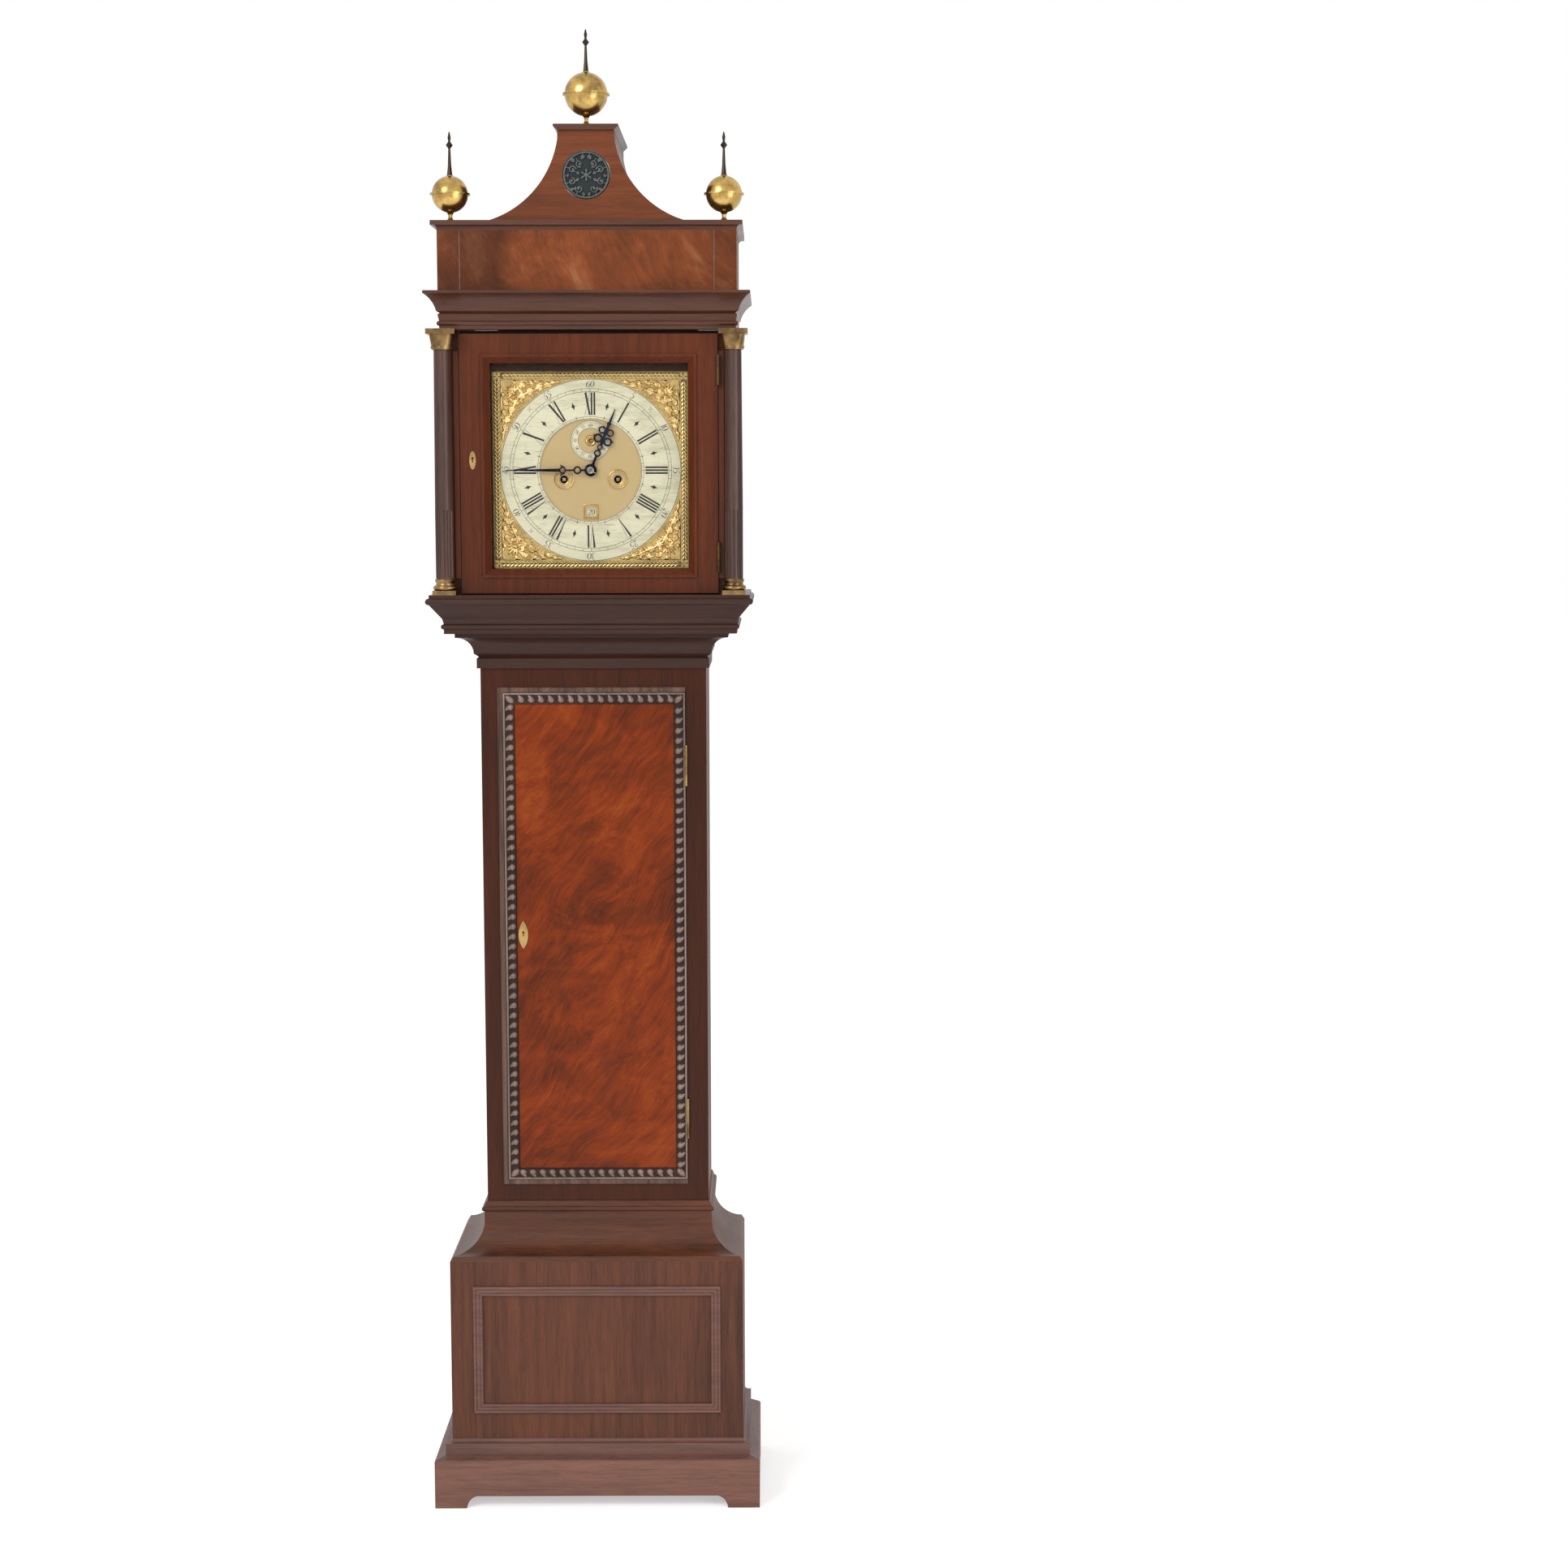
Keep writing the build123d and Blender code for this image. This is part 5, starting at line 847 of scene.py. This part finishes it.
def engrave_border():
    """A wheat-ear band round the edge of the plate: two rows of raised leaves on a shaded ground."""
    leaves, ground = Shape(), Shape()
    base = DIAL_FRONT - 0.04
    middle, half_band, length, pitch = 144.4, 4.6, 9.2, 6.2
    reach = middle - half_band - 1.5
    count = int(2 * reach / pitch)
    inner, outer = middle - half_band, middle + half_band
    for side in range(4):
        turn = radians(90 * side)
        ground.plate(
            [dial_spot(turn, 0, u, v) for u, v in
             ((-reach, outer), (-reach, inner), (reach, inner), (reach, outer))],
            base, base + 0.08,
        )
        for index in range(count):
            along = -reach + pitch * (index + 0.5)
            for row in (-1, 1):
                foot = (along, middle + row * 0.25)
                tip = (along + length * 0.82, middle + row * (half_band - 0.5))
                ahead_x, ahead_z = heading(foot, tip)
                low, ridge = [], []
                for spots, line in ((low, LEAF_EDGE), (ridge, LEAF_RIDGE)):
                    for share, width in line:
                        u = foot[0] + (tip[0] - foot[0]) * share - ahead_z * width
                        v = foot[1] + (tip[1] - foot[1]) * share + ahead_x * width
                        spots.append(dial_spot(turn, 0, u, v))
                points = [(x, base, z) for x, z in low] + [(x, base + 0.1, z) for x, z in low]
                points += [(x, base + 0.5, z) for x, z in ridge]
                faces = [(0, 1, 2, 3, 4, 5)] + [(k, (k + 1) % 6, 6 + (k + 1) % 6, 6 + k) for k in range(6)]
                faces += [(6, 7, 12), (7, 8, 13, 12), (8, 9, 13), (9, 10, 13), (10, 11, 12, 13), (11, 6, 12)]
                leaves.add(points, faces)
    mesh_piece("border_leaves", "case", "dial_brass", leaves)
    far = 143.0 * 2**0.5
    for side in range(4):
        turn = radians(45 + 90 * side)
        for petal in range(4):
            angle = pi / 4 + petal * pi / 2
            knots = [
                (*dial_spot(turn, far, *polar(reach, angle)), width)
                for reach, width in ((1.0, 0.5), (3.0, 1.9), (5.4, 1.6), (7.4, 0.3))
            ]
            ground.stroke(eased(knots), base, base + 0.14)
    for edge in (inner - 0.6, outer + 0.6):
        corners = [dial_spot(0, 0, x * edge, z * edge) for x, z in SQUARE]
        for index in range(4):
            ground.line((corners[index - 1], corners[index]), 0.3, base, base + 0.1)
    # Ground between the border leaves and the pits of the corner flowers, in brown painted shade
    mesh_piece("border_ground", "case", "engraving_shade", ground)


def square_arbors():
    """The steel winding squares, each in a dark tube laid in its hole as painted shade."""
    half, bevel = 2.75, 0.5
    for name, (x, z) in zip(("strike_barrel", "going_barrel"), WINDING_HOLES):
        square = Shape()
        loops = []
        for reach, depth in ((half, 196.0), (half, 201.6), (half - bevel, 202.1)):
            loops.append([(x + a * reach, depth, z + b * reach) for a, b in SQUARE])
        square.loft(loops)
        mesh_piece(name + "_square", name, "bright_steel", square)
        # A dark tube lining each hole: painted shade where the movement behind lies in shadow
        well = Shape()
        well.turned(x, z, ((5.97, 200.5), (5.97, 201.7), (5.7, 201.9), (5.7, 200.5)))
        mesh_piece(name + "_painted_shade_tube", "case", "mask_wood", well, smooth=40)


def dress_hand_centre():
    """Steel collet and taper pin that hold the hands."""
    collet = Shape()
    collet.turned(0, DIAL_Z, ((5.4, 212.0), (5.4, 212.9), (4.4, 213.6), (2.6, 213.3), (2.3, 212.0)))
    mesh_piece("hand_collet", "minute_works", "bright_steel", collet, smooth=40)
    pin = Shape()
    lean = radians(-30)
    pin_widths = ((-6.5, 0.35), (0, 0.55), (9.5, 0.85))
    knots = [(*polar(reach, lean, 0.0, DIAL_Z), width) for reach, width in pin_widths]
    pin.stem(knots, 213.9, 1.0, 10)
    mesh_piece("hand_pin", "minute_works", "bright_steel", pin, smooth=50)


engrave_chapter_ring()
engrave_seconds_ring()
turn_bosses()
engrave_calendar()
engrave_border()
square_arbors()
dress_hand_centre()


# Cast and carved relief


class Relief:
    """A pierced carving on a fine grid: rounded stems and drops that rise from a thin web."""

    def __init__(self, pitch, web, web_reach):
        self.pitch = pitch
        self.web = web
        self.web_reach = web_reach
        self.rise = {}

    def drop(self, x, z, radius, height):
        reach = radius + self.web_reach
        for i in range(int((x - reach) // self.pitch), int((x + reach) // self.pitch) + 2):
            for j in range(int((z - reach) // self.pitch), int((z + reach) // self.pitch) + 2):
                gap = hypot(i * self.pitch - x, j * self.pitch - z)
                if gap < reach:
                    dome = max(0.0, 1 - (gap / radius) ** 2) ** 0.5
                    lifted = self.web + (height - self.web) * dome
                    self.rise[i, j] = max(self.rise.get((i, j), 0.0), lifted)

    def stem(self, knots):
        """A stem through knots of (x, z, radius, height)."""
        for start, end in zip(knots, knots[1:]):
            steps = max(1, int(hypot(end[0] - start[0], end[1] - start[1]) / (0.7 * self.pitch)))
            for step in range(steps + 1):
                share = step / steps
                self.drop(*(a + (b - a) * share for a, b in zip(start, end)))

    def scroll(self, x, z, radius, start, turns, thick, height, spin=1):
        """A stem that winds in to an eye."""
        knots = []
        steps = int(16 * turns)
        for step in range(steps + 1):
            share = step / steps
            angle = start + spin * 2 * pi * turns * share
            reach = (radius - thick) * (1 - 0.72 * share)
            knots.append((*polar(reach, angle, x, z), thick * (1 - 0.35 * share), height))
        self.stem(knots)
        self.drop(x, z, thick * 0.95, height * 1.15)

    def leaf(self, x, z, lean, length, width, height):
        """A pointed leaf from its foot at x, z."""
        knots = []
        for share, girth in ((0, 0.35), (0.3, 0.9), (0.55, 1.0), (0.8, 0.6), (1.0, 0.2)):
            knots.append(
                (x + cos(lean) * length * share, z + sin(lean) * length * share, width * girth, height)
            )
        self.stem(knots)

    def gather(self, shape, base, place):
        """Adds the carving to a shape; place turns its own x and z into the clock's."""
        cells = {
            (i, j) for i, j in self.rise
            if all((i + a, j + b) in self.rise for a, b in ((1, 0), (0, 1), (1, 1)))
        }
        order = {}
        points, faces = [], []

        def corner(i, j, top):
            if (i, j, top) not in order:
                order[i, j, top] = len(points)
                x, z = place(i * self.pitch, j * self.pitch)
                points.append((x, base + (self.rise[i, j] if top else 0.0), z))
            return order[i, j, top]

        for i, j in sorted(cells):
            square = ((i, j), (i + 1, j), (i + 1, j + 1), (i, j + 1))
            faces.append([corner(*spot, True) for spot in square])
            faces.append([corner(*spot, False) for spot in reversed(square)])
            for side, (a, b) in enumerate(((0, -1), (1, 0), (0, 1), (-1, 0))):
                if (i + a, j + b) not in cells:
                    first, second = square[side], square[(side + 1) % 4]
                    walls = ((first, False), (second, False), (second, True), (first, True))
                    faces.append([corner(*spot, top) for spot, top in walls])
        shape.add(points, faces)


def soften(piece):
    """Rounds the small steps of a carving."""
    loose = bmesh.new()
    loose.from_mesh(piece.data)
    bmesh.ops.smooth_vert(
        loose, verts=loose.verts, factor=0.5, use_axis_x=True, use_axis_y=True, use_axis_z=True
    )
    loose.to_mesh(piece.data)
    loose.free()


# Scrolls of half a spandrel, from its tip to the corner: across, up, radius, first angle, turns, spin
SPANDREL_SCROLLS = (
    (133.9, 56.0, 4.4, -60, 1.2, 1),
    (131.4, 65.6, 5.8, 200, 1.3, -1),
    (126.6, 77.6, 7.2, -50, 1.5, 1),
    (134.2, 76.4, 3.4, 160, 1.1, 1),
    (121.0, 91.6, 7.4, 170, 1.5, -1),
    (132.0, 89.4, 5.4, -90, 1.3, 1),
    (112.6, 103.6, 6.2, -20, 1.3, 1),
    (129.6, 103.0, 6.6, 120, 1.4, -1),
    (120.6, 107.4, 5.0, 20, 1.2, -1),
    (133.6, 116.2, 4.2, -90, 1.2, 1),
)
SPANDREL_STEM = (
    (135.2, 50.0, 1.1, 2.4), (133.0, 60.5, 1.4, 2.8), (130.0, 71.5, 1.6, 3.0), (124.0, 84.0, 1.9, 3.2),
    (119.0, 96.0, 2.0, 3.4), (113.0, 106.0, 2.0, 3.4), (110.5, 110.5, 2.0, 3.4),
)
# The leaves' tips keep inside the plate's border and outside the chapter ring
EDGE_LIMIT, RING_LIMIT = 137.6, 142.2


def cast_spandrels():
    """Four gilt corner castings of pierced scrolling foliage, each alike about its diagonal."""
    relief = Relief(0.62, 0.7, 0.55)
    for mirror in (False, True):
        swap = (lambda x, z: (z, x)) if mirror else (lambda x, z: (x, z))
        for x, z, radius, start, turns, spin in SPANDREL_SCROLLS:
            middle = swap(x, z)
            angle = radians(90 - start) if mirror else radians(start)
            relief.scroll(*middle, radius, angle, turns, 0.21 * radius + 0.5, 2.7, -spin if mirror else spin)
            for offset in (-70, 0, 70):
                lean = radians(start + 100 + offset)
                lean = pi / 2 - lean if mirror else lean
                foot = polar(radius * 0.75, lean, *middle)
                tip = polar(3.2, lean, *foot)
                if max(tip) < EDGE_LIMIT and hypot(*tip) > RING_LIMIT:
                    relief.leaf(*foot, lean, 3.6, 1.15, 2.2)
        relief.stem([(*swap(x, z), radius, height) for x, z, radius, height in eased(SPANDREL_STEM)])
        relief.drop(*swap(135.2, 49.2), 2.5, 2.6)
        relief.drop(*swap(134.8, 45.6), 1.5, 2.0)
        relief.stem([(*swap(x, z), 0.85, 1.7) for x, z in ((136.6, 70.0), (137.0, 90.0), (137.0, 137.0))])
        for step in range(13):
            spot = polar(143.4 + 0.9 * sin(step * 2.1), radians(21.5 + 1.85 * step))
            relief.drop(*swap(*spot), 1.55, 1.9)
    # A shell of seven ribs with its boss on the diagonal
    shell = 117.5
    relief.drop(shell, shell, 3.4, 3.9)
    for rib in range(7):
        lean = radians(45 + (rib - 3) * 27)
        relief.leaf(*polar(3, lean, shell, shell), lean, 11.5 if rib != 3 else 14.5, 1.9, 3.1)
    for side in (-1, 1):
        lean = radians(225 + side * 38)
        relief.leaf(*polar(2, lean, 116, 116), lean, 8.5, 1.7, 2.8)
    relief.drop(104.5, 104.5, 2.3, 2.4)
    castings = Shape()
    for quarter in range(4):
        turned = radians(-90 * quarter)
        relief.gather(
            castings, DIAL_FRONT - 0.05,
            lambda x, z: (x * cos(turned) - z * sin(turned), DIAL_Z + x * sin(turned) + z * cos(turned)),
        )
    made = mesh_piece(
        "spandrel_castings", "case", "gilt_brass", castings,
        smooth=70, stands_for="spandrels",
    )
    soften(made)


ROUNDEL_Z = 2075.0
ROUNDEL_RADIUS = 36.2
CLOTH_DEPTH = 240.6
# Scrolls of half the fret: across, up, radius, first angle, spin
FRET_SCROLLS = (
    (10.5, 17.0, 7.0, 250, 1), (21.0, 8.0, 7.2, 170, -1), (22.0, -9.5, 6.8, 100, 1),
    (11.0, -20.5, 7.4, 20, -1), (4.4, 26.5, 4.6, -60, 1), (20.5, 21.5, 4.4, 230, -1),
    (28.6, -1.0, 3.2, 90, 1), (21.8, -21.0, 3.6, 140, 1), (3.6, -28.0, 3.6, 60, -1),
    (12.6, 3.6, 3.6, 200, 1), (13.0, -7.4, 3.4, 150, -1),
)


def carve_roundel():
    """The pierced fret of the crest: a rim, a rosette and mirrored scrolls."""
    relief = Relief(0.6, 1.0, 0.25)
    rim = ROUNDEL_RADIUS - 2.4
    relief.stem([(*polar(rim, radians(degree)), 1.9, 2.3) for degree in range(0, 361, 6)])
    relief.drop(0, 0, 3.2, 2.5)
    for petal in range(6):
        lean = radians(30 + 60 * petal)
        relief.leaf(*polar(2.6, lean), lean, 7.5, 1.9, 2.3)
    for mirror in (1, -1):
        for x, z, radius, start, spin in FRET_SCROLLS:
            angle = radians(start if mirror == 1 else 180 - start)
            relief.scroll(mirror * x, z, radius, angle, 1.2, 0.15 * radius + 0.45, 2.2, spin * mirror)
            outward = atan2(z, mirror * x)
            length = max(2.0, min(5.0, rim - hypot(x, z) - radius * 0.7))
            relief.leaf(*polar(radius * 0.7, outward, mirror * x, z), outward, length, 1.2, 2.0)
    fret = Shape()
    relief.gather(fret, CLOTH_DEPTH + 0.95, lambda x, z: (x, ROUNDEL_Z + z))
    made = mesh_piece(
        "crest_fret", "hood", "fret_wood", fret, smooth=70, stands_for="fret_roundel"
    )
    soften(made)


def stretch_lining():
    """The cloth stretched behind the fret, with a little slack."""
    rings, sides = 7, 48
    edge = ROUNDEL_RADIUS - 0.1
    points, faces = [(0, CLOTH_DEPTH, ROUNDEL_Z)], []
    for ring in range(1, rings + 1):
        for side in range(sides):
            angle = 2 * pi * side / sides
            slack = 0.18 * sin(3 * angle + 1.0) * sin(pi * ring / rings)
            x, z = polar(edge * ring / rings, angle, 0.0, ROUNDEL_Z)
            points.append((x, CLOTH_DEPTH + slack, z))
    for side in range(sides):
        after = (side + 1) % sides
        faces.append((0, 1 + side, 1 + after))
        for low in range(1, 1 + sides * (rings - 1), sides):
            faces.append((low + side, low + sides + side, low + sides + after, low + after))
    cloth = Shape()
    cloth.add(points, faces)
    lining = mesh_piece(
        "fret_lining", "hood", "fret_cloth_weave", cloth, smooth=80, stands_for="fret_cloth"
    )


# Carved border of the trunk door

BORDER_WIDTH = 18.0
LOBE_PITCH = 15.7
# Radius of a lobe, from its outer end to its inner one
LOBE_GIRTHS = (1.0, 2.0, 2.9, 3.8, 4.7, 5.4, 5.5, 4.3, 1.6)
# Width of the attic's corner blocks
CORNER_BLOCK = 34.0


def carve_border():
    """Slanting gadroon lobes between a plain outer bead and a fine inner one, mitred at the corners."""
    least, most = node_box("trunk_door_border")
    left, back, low = least
    right, high = most.x, most.z
    # Sections from the outer edge inward: inset and depth
    bead = (
        (0.0, back), (0.0, back + 3.2), (0.7, back + 4.6), (1.8, back + 5.0),
        (2.9, back + 4.4), (3.3, back + 2.6), (3.3, back),
    )
    ground = (
        (3.3, back + 2.6), (5.5, back + 1.5), (9.0, back + 1.2), (13.5, back + 1.5), (15.6, back + 2.0),
        (16.4, back + 2.6), (17.2, back + 2.6), (17.7, back + 1.8), (18.0, back), (3.3, back),
    )
    # Outer bead in the lighter copy of the wood as painted highlight; ground and inner bead between the lobes
    # in the darker copy as painted shade
    for name, finish, section in (
        ("door_border_bead", "carved_wood", bead), ("door_border_ground", "carved_ground_wood", ground),
    ):
        loops = []
        for inset, depth in section:
            sides, ends = (left + inset, right - inset), (low + inset, high - inset)
            loops.append([(sides[a > 0], depth, ends[b > 0]) for a, b in SQUARE])
        moulding = Shape()
        moulding.loft(loops, closed=True)
        mesh_piece(
            name, "trunk_door", finish, moulding,
            smooth=40, stands_for="trunk_door_border",
        )
    lobes = Shape()
    runs = (
        ((left, high), (1, 0), (0, -1), right - left),
        ((right, high), (0, -1), (-1, 0), high - low),
        ((right, low), (-1, 0), (0, 1), right - left),
        ((left, low), (0, 1), (1, 0), high - low),
    )
    for start, along, inward, length in runs:
        span = length - 2 * BORDER_WIDTH
        count = round(span / LOBE_PITCH)
        pitch = span / count
        for index in range(count):
            centre = BORDER_WIDTH + pitch * (index + 0.5)
            knots = []
            for share, girth in enumerate(LOBE_GIRTHS):
                t = share / (len(LOBE_GIRTHS) - 1)
                inset = 3.4 + 12.6 * t
                sway = centre + 3.6 * (t - 0.5) + 2.4 * sin(pi * t)
                x, z = (start[axis] + along[axis] * sway + inward[axis] * inset for axis in (0, 1))
                knots.append((x, z, girth))
            lobes.stem(knots, back + 1.2, 0.92, 12)
    for x, z, lean in ((left, high, -45), (right, high, -135), (right, low, 135), (left, low, 45)):
        knots = [
            (*polar(reach, radians(lean), x, z), girth)
            for reach, girth in ((6.0, 1.2), (8.0, 3.0), (12.0, 4.8), (16.5, 5.2), (20.5, 3.6), (22.6, 1.4))
        ]
        lobes.stem(knots, back + 1.2, 0.95, 12)
    # Lobes in the lighter copy of the wood: painted highlight
    mesh_piece(
        "door_border_lobes", "trunk_door", "carved_wood", lobes, smooth=60,
        stands_for="trunk_door_border",
    )


def joint_attic_blocks():
    """Fine upright beads where the corner blocks meet the figured panel of the attic."""
    low, high = node_box("attic_box")
    front = high.y - 0.05
    section = ((-1.3, 0), (-1.2, 0.55), (-0.5, 1.15), (0.5, 1.15), (1.2, 0.55), (1.3, 0))
    for name, side in (("left", -1), ("right", 1)):
        middle = side * (high.x - CORNER_BLOCK)
        bead = Shape()
        ends = (low.z + 0.3, high.z - 0.3)
        bead.loft([[(middle + across, front + rise, z) for across, rise in section] for z in ends])
        mesh_piece("attic_bead_" + name, "hood", "plinth_wood", bead, smooth=50)


cast_spandrels()
carve_roundel()
stretch_lining()
joint_attic_blocks()
carve_border()

# Camera, light and floor

PHOTO_SIDE = 1932
FOCAL_PIXELS = 3200.0
EYE = (281.9, -4102.7, 1585.3)
YAW, PITCH, ROLL = -0.0038, 0.1085, -0.0015
SENSOR_WIDTH = 36.0


def place_camera():
    data = bpy.data.cameras.new("photo_camera")
    camera = bpy.data.objects.new("photo_camera", data)
    bpy.context.scene.collection.objects.link(camera)
    right = Vector((cos(YAW), sin(YAW), 0))
    ahead = Vector((-sin(YAW) * cos(PITCH), cos(YAW) * cos(PITCH), -sin(PITCH)))
    up = right.cross(ahead)
    across = cos(ROLL) * right + sin(ROLL) * up
    upward = cos(ROLL) * up - sin(ROLL) * right
    camera.matrix_world = Matrix((across, upward, -ahead)).transposed().to_4x4()
    camera.location = Vector(EYE) * MM
    data.sensor_width = SENSOR_WIDTH
    data.lens = FOCAL_PIXELS * SENSOR_WIDTH / PHOTO_SIDE
    data.clip_end = 100
    bpy.context.scene.camera = camera


def area_light(name, place, target, size, power):
    data = bpy.data.lights.new(name, "AREA")
    data.shape = "RECTANGLE"
    data.size, data.size_y = size
    data.energy = power
    light = bpy.data.objects.new(name, data)
    bpy.context.scene.collection.objects.link(light)
    light.location = place
    light.rotation_euler = (Vector(target) - Vector(place)).to_track_quat("-Z", "Y").to_euler()


def light_world(strength):
    """White where the camera, metal or glass looks out, and a softer light on the clock."""
    world = bpy.data.worlds.new("studio")
    bpy.context.scene.world = world
    nodes = Nodes(world)
    soft, white = (
        nodes.node("Background", Color=(1, 1, 1, 1), Strength=power).outputs[0] for power in (strength, 1.0)
    )
    chosen = nodes.wire(nodes.node("MixShader"), nodes.seen(), soft, white)
    nodes.node("OutputWorld", Surface=chosen)


def lay_floor():
    """A large pale floor, shaded as well as lit, that renders white away from the shadow."""
    reach = 30.0
    mesh = bpy.data.meshes.new("floor")
    mesh.from_pydata([(reach * x, reach * y, 0) for x, y in SQUARE], [], [(0, 1, 2, 3)])
    floor = bpy.data.objects.new("floor", mesh)
    bpy.context.scene.collection.objects.link(floor)
    mesh.materials.append(studio_white("floor_white", 0.45))


place_camera()
light_world(0.62)
area_light("key_light", (-2.2, -3.4, 3.6), (0, 0, 1.2), (1.8, 1.8), 95)
area_light("fill_light", (2.8, -3.0, 1.6), (0, 0, 1.0), (2.0, 2.4), 45)
lay_floor()

bpy.context.scene.view_settings.view_transform = "Standard"
